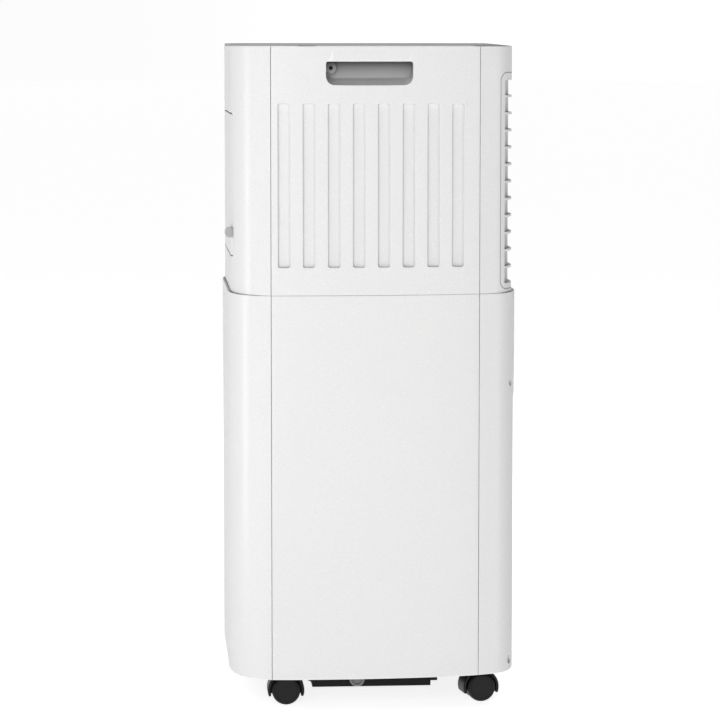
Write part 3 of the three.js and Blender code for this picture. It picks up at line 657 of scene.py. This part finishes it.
def upper_shells():
    front = wall(UPPER["front"], SHELL, upper_levels(True), PLAIN_END)
    y = -UPPER_HALF_DEPTH
    hole = prism("y", outlet_outline, [(y - 5, 0), (y + 12, 0)])
    # The gap beside the flap widens towards the lug, and alike at the left end.
    edge = FLAP_HALF + 0.3
    notch = [(edge, 483.0), (edge + 2.0, 497.0), (edge + 2.0, 508.5), (edge, 508.5)]
    notches = [loft([[(side * a, t, b) for a, b in notch] for t in (y - 5, y + 12)]) for side in (1, -1)]
    stand_for("upper_front_shell", carved(front, hole, together(*notches)))
    outlet_gap_shade()

    rear = wall(UPPER["rear"], SHELL, upper_levels(True), PLAIN_END)
    intake = rounded_rect((-INTAKE_HALF, INTAKE_HALF), INTAKE_Z, INTAKE_ROUND, steps=8)
    hole = prism("y", intake, [(REAR_SEAM[1] + 3, 0), (UPPER_HALF_DEPTH + 5, 0)])
    stand_for("upper_rear_shell", carved(rear, hole))

    grooves = []
    profile = [(GROOVE_DEPTH, 0.7), (GROOVE_DEPTH - 0.2, 0.3), (GROOVE_DEPTH - 0.7, 0), (0.5, 0)]
    profile += [(0.15, -0.13), (0.0, -0.4), (-1.0, -1.4)]
    for i in range(GROOVE_COUNT):
        start = GROOVE_FIRST + i * GROOVE_PITCH
        outline = rounded_rect((start, start + GROOVE_WIDTH), GROOVE_Z, 2.2, steps=5)
        grooves.append(side_cutter(outline, profile))
    opening = side_cutter(handle_outline, [(7, 0), (0.5, 0), (0.15, -0.12), (0.0, -0.4), (-1.0, -1.4)])
    panel = wall(UPPER["right"], PANEL, upper_levels(False), LIP_END)
    panel = carved(panel, together(opening, *grooves))
    stand_for("upper_side_panel_right", panel)
    stand_for("upper_side_panel_left", mirrored(panel))


def handle_cups():
    """A cup behind each handle opening: sloping floor, soft inner corners and a screw boss."""
    behind = PANEL + FIT
    back = HANDLE_INNER - 2

    def ring(x, draw_in, low=HANDLE_Z[0]):
        return [(side_x(a, behind) if x is None else x, a, b) for a, b in handle_outline(draw_in, low)]

    rings = [
        ring(back, -2.0),
        ring(back + 1, -3.0),
        ring(None, -3.0),
        ring(None, 0.0),
        ring(157.5, 0.0),
        ring(152, 0.2, 659.8),
        ring(146.4, 0.4, 662.6),
        ring(145.4, 0.6, 663.2),
        ring(145.1, 1.0, 663.5),
        ring(HANDLE_INNER, 1.6, 663.5),
    ]
    end = HANDLE_BOSS_END
    radius = HANDLE_BOSS_RADIUS
    profile = [(0, 144), (radius, 144), (radius, end - 0.5), (radius - 0.5, end), (0, end)]
    boss = lathe("x", HANDLE_BOSS_AT, profile, 36)
    profile = [(0, 143.6), (2, 143.8), (2, end - 0.4), (2.5, end + 0.1), (3.6, end + 1.2)]
    hole = lathe("x", HANDLE_BOSS_AT, profile, 24)
    cup = carved(loft(rings), hole, joined=[boss])
    stand_for("handle_cup_right", cup, look=CUP_GREY)
    stand_for("handle_cup_left", mirrored(cup), look=CUP_GREY)
    # A black plug sunk in the boss's hole: painted shade that makes the hole read dark.
    hole_shade = lathe("x", HANDLE_BOSS_AT, [(0, 143.9), (1.93, 143.9), (1.93, end - 1.2), (0, end - 1.2)], 24)
    finished("handle_hole_shade_right", hole_shade, BODY_OF["handle_cup_right"], "base_black")
    finished("handle_hole_shade_left", mirrored(hole_shade), BODY_OF["handle_cup_left"], "base_black")


# -------- top cover and controls

LENS_HALF = 76.0
LENS_Y = (-104.0, -44.0)
LENS_DEPTH = 1.6
BUTTON_Y = -62.0
BUTTON_RADIUS = 7.0
BUTTON_PITCH = 26.0
BUTTON_NAMES = ("power", "mode", "fan_speed", "timer", "swing")
BUTTON_PLACES = [(i - 2) * BUTTON_PITCH for i in range(len(BUTTON_NAMES))]
WELL_RADIUS = 7.4
COVER_FALL = ((115.0, 0.0), (138.0, 2.0), (UPPER_HALF_DEPTH, 2.7))
LAMP_AHEAD = 16.0


def cover_top(y):
    """Height of the cover at y: level, then sloping down behind."""
    return TOP_Z - between(COVER_FALL, y)


def top_cover():
    """The grey cover: a plate with a soft edge, a recess for the lens and wells for the buttons."""
    half = [p for name in ("front", "right", "rear") for p in UPPER[name]]
    right = []
    for p in half:
        if p.x > 0 and (not right or (p - right[-1]).length > 0.05):
            right.append(p)
    loop = right + [Vector((-p.x, p.y)) for p in reversed(right)]
    normals = inward(loop, closed=True)
    count = len(right)
    soft = 1.1
    bottom = SHOULDER_Z + FIT

    def ring(depth, height):
        return [(*(p + n * depth), height(p.y)) for p, n in zip(loop, normals)]

    rings = []
    for share, depth in ((0.0, 0.8), (0.15, 0.4), (1.0, 0.4)):
        rings.append(ring(depth, lambda y: bottom + share * (cover_top(y) - soft - bottom)))
    for i in range(1, 5):
        angle = math.pi / 2 * i / 4
        depth = 0.4 + soft * (1 - math.cos(angle))
        rings.append(ring(depth, lambda y: cover_top(y) - soft * (1 - math.sin(angle))))
    points, faces = loft(rings)
    faces = faces[:-1]
    start = (len(rings) - 1) * len(loop)
    for i in range(count - 1):
        faces.append((start + i, start + i + 1, start + 2 * count - 2 - i, start + 2 * count - 1 - i))
    plate = (points, faces)

    across = (-LENS_HALF - FIT, LENS_HALF + FIT)
    pocket = box(across, (LENS_Y[0] - FIT, LENS_Y[1] + FIT), (TOP_Z - LENS_DEPTH, TOP_Z + 20))
    wells = [lathe("z", (x, BUTTON_Y), [(WELL_RADIUS, 690), (WELL_RADIUS, 710)], 32) for x in BUTTON_PLACES]
    stand_for("top_cover", carved(plate, pocket, together(*wells)))


def turned(y, profile, sides):
    """The same turned shape over each button's place; the profile's heights are below the top."""
    heights = [(radius, TOP_Z - below) for radius, below in profile]
    return [lathe("z", (x, y), heights, sides) for x in BUTTON_PLACES]


def controls():
    outline = rounded_rect((-LENS_HALF, LENS_HALF), LENS_Y, 3)
    lens = prism("z", outline, rounded(TOP_Z - LENS_DEPTH, TOP_Z - 0.2, 0.2, 0.4, 3))
    holes = turned(BUTTON_Y, [(WELL_RADIUS, 9.7), (WELL_RADIUS, 0.6), (7.8, 0.2), (9, -1.3)], 32)
    stand_for("control_lens", carved(lens, together(*holes)))

    profile = [(0, 6.3), (6.6, 6.3), (BUTTON_RADIUS, 5.9), (BUTTON_RADIUS, 0.8), (6.8, 0.3)]
    profile += [(6.3, 0.05), (5.6, 0.1), (3.5, 0.45), (0, 0.6)]
    for name, shape in zip(BUTTON_NAMES, turned(BUTTON_Y, profile, 36)):
        stand_for("button_" + name, shape)

    # A small lamp sits in front of each button, flush in the lens.
    lamps = turned(BUTTON_Y - LAMP_AHEAD, [(0, 1.2), (1.3, 1.2), (1.3, 0.25), (0.9, 0.05), (0, 0)], 20)
    finished("control_lamps", together(*lamps), "cabinet", "button_grey")


# -------- air outlet at the front


def front_places(half):
    """Places across the front, evenly spaced."""
    return [-half + i * 2 * half / 60 for i in range(61)]


def flap():
    """The front flap: it follows the front's curve, with a lug at its right end and two arms."""
    half = FLAP_HALF
    low, high = FLAP_Z
    block = []
    for x in front_places(half):
        block.append([
            (x, front_y(x), low),
            (x, front_y(x), high),
            (x, front_y(x, FLAP_THICK), high),
            (x, front_y(x, FLAP_THICK), low),
        ])
    around = prism("y", rounded_rect((-half - 9, half + 9), (low - 9, high + 9), 9), [(-170, 0), (-120, 0)])
    inside = prism("y", rounded_rect((-half, half), FLAP_Z, FLAP_ROUND, steps=8), [(-175, 0), (-115, 0)])
    corners = carved(around, inside)
    pivot_y, pivot_z = FLAP_PIVOT
    lug = prism("x", circle(*LUG_AT, LUG_RADIUS, 48), rounded(96, half, 0.6, 0.5, steps=3))
    behind = box((80, 130), (-145.6, -120), (480, 520))
    lug = carved(lug, behind)
    plate = carved(loft(block), corners, joined=[lug])
    arms = []
    for side in (-1, 1):
        x = FLAP_ARM_X * side
        arms.append(box((x - 2, x + 2), (-146, pivot_y + 3.5), (pivot_z - 4, pivot_z + 4), 0.8))
        pin = sorted((x + 1.5 * side, 110 * side))
        arms.append(prism("x", circle(pivot_y, pivot_z, 2.5, 24), rounded(*pin, 0.4, steps=2)))
    piece = stand_for("outlet_flap", together(plate, *arms))
    soften(piece, 0.5)
    # Grey facings on the lug's end and on the plate's edge below it, as painted shade.
    places = rounded(half - 0.3, half + 0.15, 0.05, 0.1, steps=2)
    end = prism("x", circle(*LUG_AT, LUG_RADIUS - 0.1, 48), places)
    end = carved(end, box((half - 5, half + 5), (-145.9, -120), (480, 520)))
    edge_y = front_y(half)
    edge = box((half - 0.3, half + 0.03), (edge_y + 0.3, edge_y + FLAP_THICK), (low + 6, pivot_z - 4))
    finished("lug_shade_facings", together(end, edge), BODY_OF["outlet_flap"], "shell_white", look=LUG_SHADE)


def soften(piece, width, segments=3, angle=40):
    """Rounds a piece's crisp edges."""
    bevel = piece.modifiers.new("edges", "BEVEL")
    bevel.width = width * MM
    bevel.segments = segments
    bevel.limit_method = "ANGLE"
    bevel.angle_limit = math.radians(angle)
    piece.modifiers.move(len(piece.modifiers) - 1, 0)


# -------- rear intake and warm air outlet


def rear_point(x, depth):
    """The upper rear face at x, moved in along its normal by a depth."""
    run = UPPER["rear"]
    normals = inward(run)
    for (a, na), (b, nb) in zip(zip(run, normals), zip(run[1:], normals[1:])):
        if b.x <= x <= a.x:
            share = (x - a.x) / (b.x - a.x) if b.x != a.x else 0
            return a.lerp(b, share) + na.lerp(nb, share).normalized() * depth
    raise ValueError(x)


def rear_places(low, high):
    """Places across the rear between two x, closer together round the corners."""
    run = [p.x for p in UPPER["rear"]]
    inner = [x for x in run if low + 0.3 < x < high - 0.3]
    return sorted(set([low, high] + inner), reverse=True)


def rear_sweep(x_from, x_to, section):
    """A bar that follows the rear face; the section lists (depth, height)."""
    rings = []
    for x in rear_places(x_from, x_to):
        rings.append([(*rear_point(x, depth), z) for depth, z in section])
    return loft(rings)


def intake_frame(half, low, high, radius):
    """All that lies round the outline of the intake insert, as a cutter."""
    beyond = rounded_rect((-half - 20, half + 20), (low - 20, high + 20), 5)
    within = rounded_rect((-half, half), (low, high), radius, steps=8)
    return carved(prism("y", beyond, [(90, 0), (170, 0)]), prism("y", within, [(85, 0), (175, 0)]))


def fin_gap(i, spare=0.0):
    """The heights of a gap between two fins, less a spare part at both ends."""
    bottom = FIN_LOW + i * FIN_PITCH
    return bottom + spare, bottom + FIN_PITCH - FIN_THICK - spare


def intake_grille():
    """The insert: its fins follow the rear face, with open windows between two ribs."""
    low, high = INTAKE_Z[0] + INTAKE_GAP, INTAKE_Z[1] - INTAKE_GAP
    half = INTAKE_HALF - INTAKE_GAP
    section = [(0, low), (0, high), (GRILLE_DEPTH, high), (GRILLE_DEPTH, low)]
    blank = rear_sweep(-half - 3, half + 3, section)
    gaps = []
    windows = []
    for i in range(FIN_GAPS):
        bottom, top = fin_gap(i)
        section = [(-3, bottom), (-3, top), (FIN_DEPTH, top), (FIN_DEPTH, bottom)]
        gaps.append(rear_sweep(-FIN_HALF, FIN_HALF, section))
        for x in ((-WINDOW_HALF, -33.5), (-30.5, 30.5), (33.5, WINDOW_HALF)):
            windows.append(box(x, (UPPER_HALF_DEPTH - 9, UPPER_HALF_DEPTH - 3), (bottom, top)))
    around = intake_frame(half, low, high, INTAKE_ROUND - 0.5)
    piece = stand_for("intake_grille", carved(blank, around, together(*gaps), together(*windows)))
    soften(piece, 0.55, 2)

    # Grey sheets on the blind ends of the gaps: painted shade that darkens the gaps.
    shade_sheets = []
    shallow, deep = FIN_DEPTH - 0.4, FIN_DEPTH - 0.05
    for i in range(FIN_GAPS):
        bottom, top = fin_gap(i, 0.3)
        section = [(shallow, bottom), (shallow, top), (deep, top), (deep, bottom)]
        shade_sheet = rear_sweep(WINDOW_HALF + 0.8, FIN_HALF - 3.5, section)
        shade_sheets += [shade_sheet, mirrored(shade_sheet)]
    finished("gap_shade_linings", together(*shade_sheets), BODY_OF["intake_grille"], "shell_white", look=LINING_SHADE)


def intake_gap_shade():
    """A thin grey band that fills the gap round the intake insert: painted shade, seen as a dark line."""
    low, high = INTAKE_Z[0] + 0.08, INTAKE_Z[1] - 0.08
    half = INTAKE_HALF - 0.08
    band = rear_sweep(-half - 3, half + 3, [(0.15, low), (0.15, high), (2.4, high), (2.4, low)])
    gap = INTAKE_GAP - 0.06
    inner_half = INTAKE_HALF - gap
    outline = rounded_rect(
        (-inner_half, inner_half), (INTAKE_Z[0] + gap, INTAKE_Z[1] - gap), INTAKE_ROUND - 0.4, steps=8
    )
    insert = prism("y", outline, [(80, 0), (180, 0)])
    shade_band = carved(band, intake_frame(half, low, high, INTAKE_ROUND), insert)
    finished("intake_gap_shade", shade_band, "cabinet", "shell_white", look=SEAL_SHADE)


NET_WIRE = 0.0006


def filter_net():
    """Woven net over the filter frame's cells. Its lengths are in metres, as the frame's are."""
    low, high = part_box("air_filter")
    mesh = bpy.data.meshes.new("filter_net")
    form = bmesh.new()
    x0, x1 = low.x + 0.002, high.x - 0.002
    z0, z1 = low.z + 0.002, high.z - 0.002
    y = low.y + NET_WIRE
    cells = 60
    grid = []
    for j in range(cells + 1):
        z = z0 + (z1 - z0) * j / cells
        grid.append([form.verts.new((x0 + (x1 - x0) * i / cells, y, z)) for i in range(cells + 1)])
    for j in range(cells):
        for i in range(cells):
            form.faces.new((grid[j][i], grid[j][i + 1], grid[j + 1][i + 1], grid[j + 1][i]))
    form.to_mesh(mesh)
    form.free()
    mesh.materials.append(FINISHES["filter_mesh"])
    net = in_scene("filter_net", mesh)
    wires = net.modifiers.new("wires", "WIREFRAME")
    wires.thickness = NET_WIRE
    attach(net, BODY_OF["air_filter"])


MOUTH_BORE = 46.0
REAR_FIT = HALF_DEPTH + FIT


def mouth_part(profile, sides=72, loop=True):
    return lathe("y", (0, MOUTH_Z), profile, sides, loop)


def warm_air_outlet():
    """The raised plate with a round mouth, its ridge and sleeve, and a guard of bars and rings."""
    face = EXHAUST_FACE
    outline = rounded_rect((-EXHAUST_HALF, EXHAUST_HALF), EXHAUST_Z, 6)
    plate = prism("y", outline, rounded(REAR_FIT, face, 0.2, 0.9))
    bore = [(MOUTH_BORE, 130), (MOUTH_BORE, face - 0.8), (46.3, face - 0.2), (47, face), (49, face + 2)]
    radius = MOUTH_RADIUS
    sleeve = [(MOUTH_BORE, 144), (radius, 144), (radius, 152), (radius, face - 0.9), (MOUTH_BORE, face - 0.9)]
    ridge = [(49.5, face - 0.8), (50.2, face - 0.05), (51.2, face - 0.05), (52, face - 0.8)]
    guard = []
    for x in (-24, 0, 24):
        reach = math.sqrt((radius - 1) ** 2 - x * x)
        guard.append(box((x - 1.5, x + 1.5), (144, 146.5), (MOUTH_Z - reach, MOUTH_Z + reach), 0.7))
    for ring in (16, 31):
        profile = [(ring - 1, 144.2), (ring + 1, 144.2), (ring + 1, 146.2), (ring - 1, 146.2)]
        guard.append(mouth_part(profile, 56))
    body = carved(plate, mouth_part(bore, loop=False))
    stand_for("exhaust_outlet", together(body, mouth_part(sleeve), mouth_part(ridge), *guard))


def rear_fittings():
    """The drain cap, with a lobed rim and a finger bar, and the gland for the cord."""
    middle_x, middle_z = DRAIN_CAP_AT

    def lobed(draw_in):
        points = []
        for i in range(96):
            angle = 2 * math.pi * i / 96
            radius = 10.75 + 0.25 * math.cos(16 * angle) - draw_in
            points.append((middle_x + radius * math.cos(angle), middle_z + radius * math.sin(angle)))
        return points

    cap = prism("y", lobed, rounded(REAR_FIT, EXHAUST_FACE - 0.5, 0.2, 0.8))
    stem = lathe("y", DRAIN_CAP_AT, [(0, 143), (5, 143), (5.5, 143.5), (5.5, 152), (0, 152)], 32)
    across = (middle_x - 7.5, middle_x + 7.5)
    finger_bar = box(across, (153.5, 154.9), (middle_z - 1.4, middle_z + 1.4), 0.6)
    stand_for("drain_cap", together(cap, stem, finger_bar))

    gland = [(3.6, 142), (5.5, 142), (5.5, REAR_FIT), (8, REAR_FIT), (8, 153.2), (7.4, 153.9)]
    gland += [(4.6, 154), (3.6, 153.2)]
    stand_for("cord_gland", lathe("y", GLAND_AT, gland, 40, True))


def case_screws():
    """Cross-head screws in the recesses of the rear corners."""
    screws = []
    base_y = RECESS_FLOOR - 0.5
    for x, z in SCREW_PLACES:
        profile = [(0, 0), (3.4, 0), (3.9, 0.5), (3.9, 1.4), (3.3, 2.1), (2, 2.5), (0, 2.6)]
        head = lathe("y", (x, z), [(radius, base_y + t) for radius, t in profile], 28)
        deep = (base_y + 1.5, base_y + 4)
        slots = [
            box((x - 2.2, x + 2.2), deep, (z - 0.4, z + 0.4)),
            box((x - 0.4, x + 0.4), deep, (z - 2.2, z + 2.2)),
        ]
        screws.append(carved(head, *slots))
    finished("case_screws", together(*screws), "cabinet", "steel")


# -------- coils seen through the grilles


TUBES = 8
FIN_SPACE = 2.4
TUBE_RADIUS = 4.0
BEND_RADIUS = 3.0
BEND_FLAT = 0.34


def tube_bend(x, side, middle, centre, pitch):
    """A flattened half turn that joins two tubes at one end of a coil."""
    rings = []
    for k in range(9):
        angle = math.pi * k / 8
        across = Vector((side * math.sin(angle), 0, -math.cos(angle)))
        heart = Vector((x + across.x * BEND_FLAT * pitch / 2, middle, centre + across.z * pitch / 2))
        ring = []
        for m in range(12):
            turn = 2 * math.pi * m / 12
            ring.append(heart + BEND_RADIUS * (across * math.cos(turn) + Vector((0, math.sin(turn), 0))))
        rings.append(ring)
    return loft(rings)


def coil(node):
    """A fin pack: thin plates between end plates, with round tube bends at both ends."""
    low, high = (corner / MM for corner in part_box(node))
    parts = []
    first_x = low.x + 8
    last_x = high.x - 8
    count = int((last_x - first_x) / FIN_SPACE)
    for i in range(count + 1):
        x = first_x + (last_x - first_x) * i / count
        parts.append(box((x - 0.15, x + 0.15), (low.y + 2, high.y - 2), (low.z + 4, high.z - 4)))
    for x in (low.x + 5, high.x - 6.4):
        parts.append(box((x, x + 1.4), (low.y, high.y), (low.z, high.z), 0.5))
    middle = (low.y + high.y) / 2
    first_z = low.z + 12
    pitch = (high.z - low.z - 24) / (TUBES - 1)
    for i in range(TUBES):
        profile = [(0, low.x + 5), (TUBE_RADIUS, low.x + 5), (TUBE_RADIUS, high.x - 5), (0, high.x - 5)]
        parts.append(lathe("x", (middle, first_z + i * pitch), profile, 16))
    for i in range(0, TUBES - 1, 2):
        if i + 2 < TUBES:
            parts.append(tube_bend(low.x + 6, -1, middle, first_z + (i + 1.5) * pitch, pitch))
        parts.append(tube_bend(high.x - 6, 1, middle, first_z + (i + 0.5) * pitch, pitch))
    stand_for(node, together(*parts))


# -------- base, drain plug and casters


TRAY_HALF = 108.0
TRAY_FOOT = 63.3
TRAY_RIM = 70.5
TRAY_STEP_Z = 22.4
TRAY_Z = (17.0, 36.3)
PLUG_AT = (-16.0, 26.6)


def base():
    """The tray under the base, with a rim along its top, and the drain plug in its right end."""
    low, high = TRAY_Z
    half = [(TRAY_FOOT, low), (TRAY_FOOT, TRAY_STEP_Z), (TRAY_RIM, TRAY_STEP_Z), (TRAY_RIM, high)]
    corners = [*half, *((-y, z) for y, z in reversed(half))]

    def section(draw_in):
        return round_polygon(corners, 0.6, draw_in)

    tray = prism("x", section, rounded(-TRAY_HALF, TRAY_HALF, 0.8))
    # The rim's front corners are cut off.
    cuts = []
    for side in (-1, 1):
        outer = (TRAY_HALF + 0.5) * side
        corner = [(outer, -TRAY_FOOT), (outer, -TRAY_RIM - 1), ((TRAY_HALF - 20) * side, -TRAY_RIM - 1)]
        cuts.append(loft([[(a, b, z) for a, b in corner] for z in (TRAY_STEP_Z - 0.5, high + 1)]))
    mouth = lathe("x", PLUG_AT, [(5.1, 98), (5.1, 112)], 40)
    collar = lathe("x", PLUG_AT, [(5.1, 102), (7.6, 102), (7.6, 108), (5.1, 108)], 40, True)
    stand_for("base_tray", together(carved(tray, mouth, together(*cuts)), collar))

    profile = [(0, 103), (4.3, 103), (4.7, 103.4), (4.7, 108.3), (7.6, 108.3), (8.1, 108.8), (8.1, 115.2)]
    profile += [(7.9, 115.7), (7.4, 116), (6.2, 116), (5.8, 115.8), (5.6, 115.4), (5.6, 114.4)]
    profile += [(3.4, 114.4), (3.4, 115.2), (3.1, 115.6), (0, 115.6)]
    stand_for("drain_plug", lathe("x", PLUG_AT, profile, 56))


def round_polygon(corners, radius, draw_in, steps=4):
    """A polygon, listed anticlockwise, with round corners and drawn in by an even amount."""
    corners = [Vector(c) for c in corners]
    moved_in = [p + n * draw_in for p, n in zip(corners, inward(corners, closed=True))]
    reach = max(radius - draw_in, 0.05)
    points = []
    for i, p in enumerate(moved_in):
        before = (moved_in[i - 1] - p).normalized()
        after = (moved_in[(i + 1) % len(moved_in)] - p).normalized()
        opening = math.acos(max(-1, min(1, before.dot(after)))) / 2
        tangent = reach / math.tan(opening)
        start = p + before * tangent
        stop = p + after * tangent
        for k in range(steps + 1):
            t = k / steps
            points.append(start * (1 - t) ** 2 + p * 2 * t * (1 - t) + stop * t * t)
    return points


WHEEL_RADIUS = 15.1
CASTER_TRAIL = 12.0
HUB = Vector((CASTER_TRAIL, WHEEL_RADIUS))
HOOD_RADIUS = 19.5
HOOD_INNER = 16.5
HORN_DROP = 16
HOOD_ARC = [-HORN_DROP + (180 + 2 * HORN_DROP) * i / 40 for i in range(41)]
CASTER_PLACE = (102.0, 103.5)
REAR_CASTER_TURN = 9
HOOD_HALF = 12.5
COLLAR_TOP = 35.7
STEM_TOP = 50.5


def polar(centre, radius, degrees):
    angle = math.radians(degrees)
    return centre + radius * Vector((math.cos(angle), math.sin(angle)))


def hood_outline(draw_in):
    """An arch over the wheels with rounded horns in front of and behind them."""
    middle = (HOOD_RADIUS + HOOD_INNER) / 2
    half = (HOOD_RADIUS - HOOD_INNER) / 2 - draw_in
    first, last = HOOD_ARC[0], HOOD_ARC[-1]
    tip = [180 * i / 6 for i in range(1, 6)]
    points = [polar(HUB, middle + half, angle) for angle in HOOD_ARC]
    points += [polar(polar(HUB, middle, last), half, last + turn) for turn in tip]
    points += [polar(HUB, middle - half, angle) for angle in reversed(HOOD_ARC)]
    points += [polar(polar(HUB, middle, first), half, first + 180 + turn) for turn in tip]
    return points


def caster(corner, x, y, turn):
    """Hood with its stem, axle and two wheels; the hub trails behind the stem."""
    place = Matrix.Translation((x, y, 0)) @ Matrix.Rotation(math.radians(turn), 4, "Z")
    hood = prism("x", hood_outline, rounded(-HOOD_HALF, HOOD_HALF, 0.9))

    def web(draw_in):
        return [polar(HUB, HOOD_INNER + 0.6, angle) for angle in HOOD_ARC]

    middle = prism("x", web, [(-3.6, 0), (3.6, 0)])
    stem = [(0, 30.8), (7.6, 30.8), (8.5, 31.6), (8.5, COLLAR_TOP - 0.5), (8.0, COLLAR_TOP), (5, COLLAR_TOP)]
    stem += [(5, STEM_TOP - 0.5), (4.5, STEM_TOP), (0, STEM_TOP)]
    stand_for("caster_hood_" + corner, moved(together(hood, middle, lathe("z", (0, 0), stem, 36)), place))

    pin = lathe("x", HUB, [(0, -12.5), (2.6, -12.5), (3, -12.1), (3, 12.1), (2.6, 12.5), (0, 12.5)], 24)
    stand_for("caster_axle_" + corner, moved(pin, place))

    profile = [(3.5, 4.4), (13.6, 4.4), (14.8, 4.9), (WHEEL_RADIUS, 6.2), (WHEEL_RADIUS, 12.6), (14.75, 13.9)]
    profile += [(13.9, 14.75), (12.9, 15), (12.3, 14.95), (12.1, 14.65), (11.7, 14.65), (11.5, 14.95)]
    profile += [(4, 15), (0, 15), (0, 13), (3.5, 13)]
    for side, sign in (("right", 1), ("left", -1)):
        wheel = lathe("x", HUB, [(radius, t * sign) for radius, t in profile], 64, True)
        stand_for("caster_wheel_" + corner + "_" + side, moved(wheel, place))


def casters():
    x, y = CASTER_PLACE
    for side, sign in (("right", 1), ("left", -1)):
        caster("front_" + side, x * sign, -y, 0)
        caster("rear_" + side, x * sign, y, REAR_CASTER_TURN)


# -------- stage, light and camera


# The stage's lengths are in metres. The floor's glow grows over its reach from the middle.
FLOOR_HALF = 60.0
GLOW_REACH = (0.3, 1.3)
GLOW = (0.83, 0.958)
# The horizon fades over its rise; its strengths are for the left side and the rear.
HORIZON_RISE = (0.03, 0.35)
HORIZON_LEFT = 0.97
HORIZON_REAR = 0.63


def stage():
    """A pale floor that glows a little, more so far away."""
    mesh = bpy.data.meshes.new("floor")
    far = FLOOR_HALF
    mesh.from_pydata([(-far, -far, 0), (far, -far, 0), (far, far, 0), (-far, far, 0)], [], [(0, 1, 2, 3)])
    material = bpy.data.materials.new("studio_floor")
    material.use_nodes = True
    tree = material.node_tree
    shader = tree.nodes["Principled BSDF"]
    shader.inputs["Base Color"].default_value = (0.8, 0.8, 0.8, 1)
    shader.inputs["Roughness"].default_value = 0.9
    shader.inputs["Specular IOR Level"].default_value = 0.1
    shader.inputs["Emission Color"].default_value = (1, 1, 1, 1)
    place = tree.nodes.new("ShaderNodeTexCoord")
    away = tree.nodes.new("ShaderNodeVectorMath")
    away.operation = "LENGTH"
    tree.links.new(place.outputs["Object"], away.inputs[0])
    glow = map_range(tree, away.outputs["Value"], GLOW_REACH, GLOW, "SMOOTHSTEP")
    tree.links.new(glow, shader.inputs["Emission Strength"])
    mesh.materials.append(material)
    in_scene("floor", mesh)


def sky():
    """A pale horizon that fades upwards, brightest beyond the left side and dimmer behind the rear."""
    world = bpy.data.worlds.new("studio")
    bpy.context.scene.world = world
    world.use_nodes = True
    tree = world.node_tree
    place = tree.nodes.new("ShaderNodeTexCoord")
    split = tree.nodes.new("ShaderNodeSeparateXYZ")
    tree.links.new(place.outputs["Generated"], split.inputs["Vector"])
    horizon = map_range(tree, split.outputs["Z"], HORIZON_RISE, (1.0, 0.0))
    beyond = maths(tree, "MAXIMUM", maths(tree, "MULTIPLY", split.outputs["X"], -HORIZON_LEFT), 0.0)
    behind = maths(tree, "MAXIMUM", split.outputs["Y"], 0.0)
    around = maths(tree, "MULTIPLY_ADD", behind, HORIZON_REAR, beyond)
    background = tree.nodes["Background"]
    tree.links.new(maths(tree, "MULTIPLY", around, horizon), background.inputs["Strength"])
    background.inputs["Color"].default_value = (1, 1, 1, 1)


AIM_Z = 0.35


def softbox(name, azimuth, elevation, power, distance=3.2, size=(1.4, 1.4), shines=False):
    """A lamp that faces the middle of the cabinet; azimuth 0 is +X, 90 is -Y."""
    lamp = bpy.data.lights.new(name, "AREA")
    lamp.shape = "RECTANGLE"
    lamp.size, lamp.size_y = size
    lamp.energy = power
    stand = bpy.data.objects.new(name, lamp)
    bpy.context.scene.collection.objects.link(stand)
    turn = math.radians(azimuth)
    lift = math.radians(elevation)
    away = Vector((math.cos(lift) * math.cos(turn), -math.cos(lift) * math.sin(turn), math.sin(lift)))
    stand.location = Vector((0, 0, AIM_Z)) + away * distance
    stand.rotation_euler = (-away).to_track_quat("-Z", "Y").to_euler()
    stand.visible_camera = False
    stand.visible_glossy = shines


def lights():
    softbox("side_light", azimuth=15, elevation=12, power=38)
    softbox("corner_light", azimuth=55, elevation=40, power=12)
    # Behind the left side, out of reach of the side that the camera sees.
    softbox("left_light", azimuth=200, elevation=25, power=34)
    # Overhead: it reaches the cover and the ledges, and only grazes the walls.
    softbox("top_light", azimuth=0, elevation=90, power=11, distance=2.8, size=(0.7, 0.7))
    # Mirrored as the bright line down the front corner.
    softbox("front_light", azimuth=94, elevation=0, power=1.6, distance=1.3, size=(0.3, 0.7), shines=True)


CAMERA_AT = (3.384, -0.253, 0.697)
CAMERA_LOOK = (-0.9923, 0.0729, -0.09995)
LENS_LENGTH = 156.35
SENSOR_WIDTH = 36


def camera():
    lens = bpy.data.cameras.new("camera")
    lens.lens = LENS_LENGTH
    lens.sensor_width = SENSOR_WIDTH
    eye = bpy.data.objects.new("camera", lens)
    bpy.context.scene.collection.objects.link(eye)
    eye.location = CAMERA_AT
    eye.rotation_euler = Vector(CAMERA_LOOK).to_track_quat("-Z", "Y").to_euler()
    bpy.context.scene.camera = eye


lower_shells()
upper_shells()
handle_cups()
top_cover()
controls()
flap()
intake_grille()
intake_gap_shade()
filter_net()
warm_air_outlet()
rear_fittings()
case_screws()
coil("evaporator")
coil("condenser")
base()
casters()
stage()
sky()
lights()
camera()
bpy.context.scene.view_settings.view_transform = "Standard"
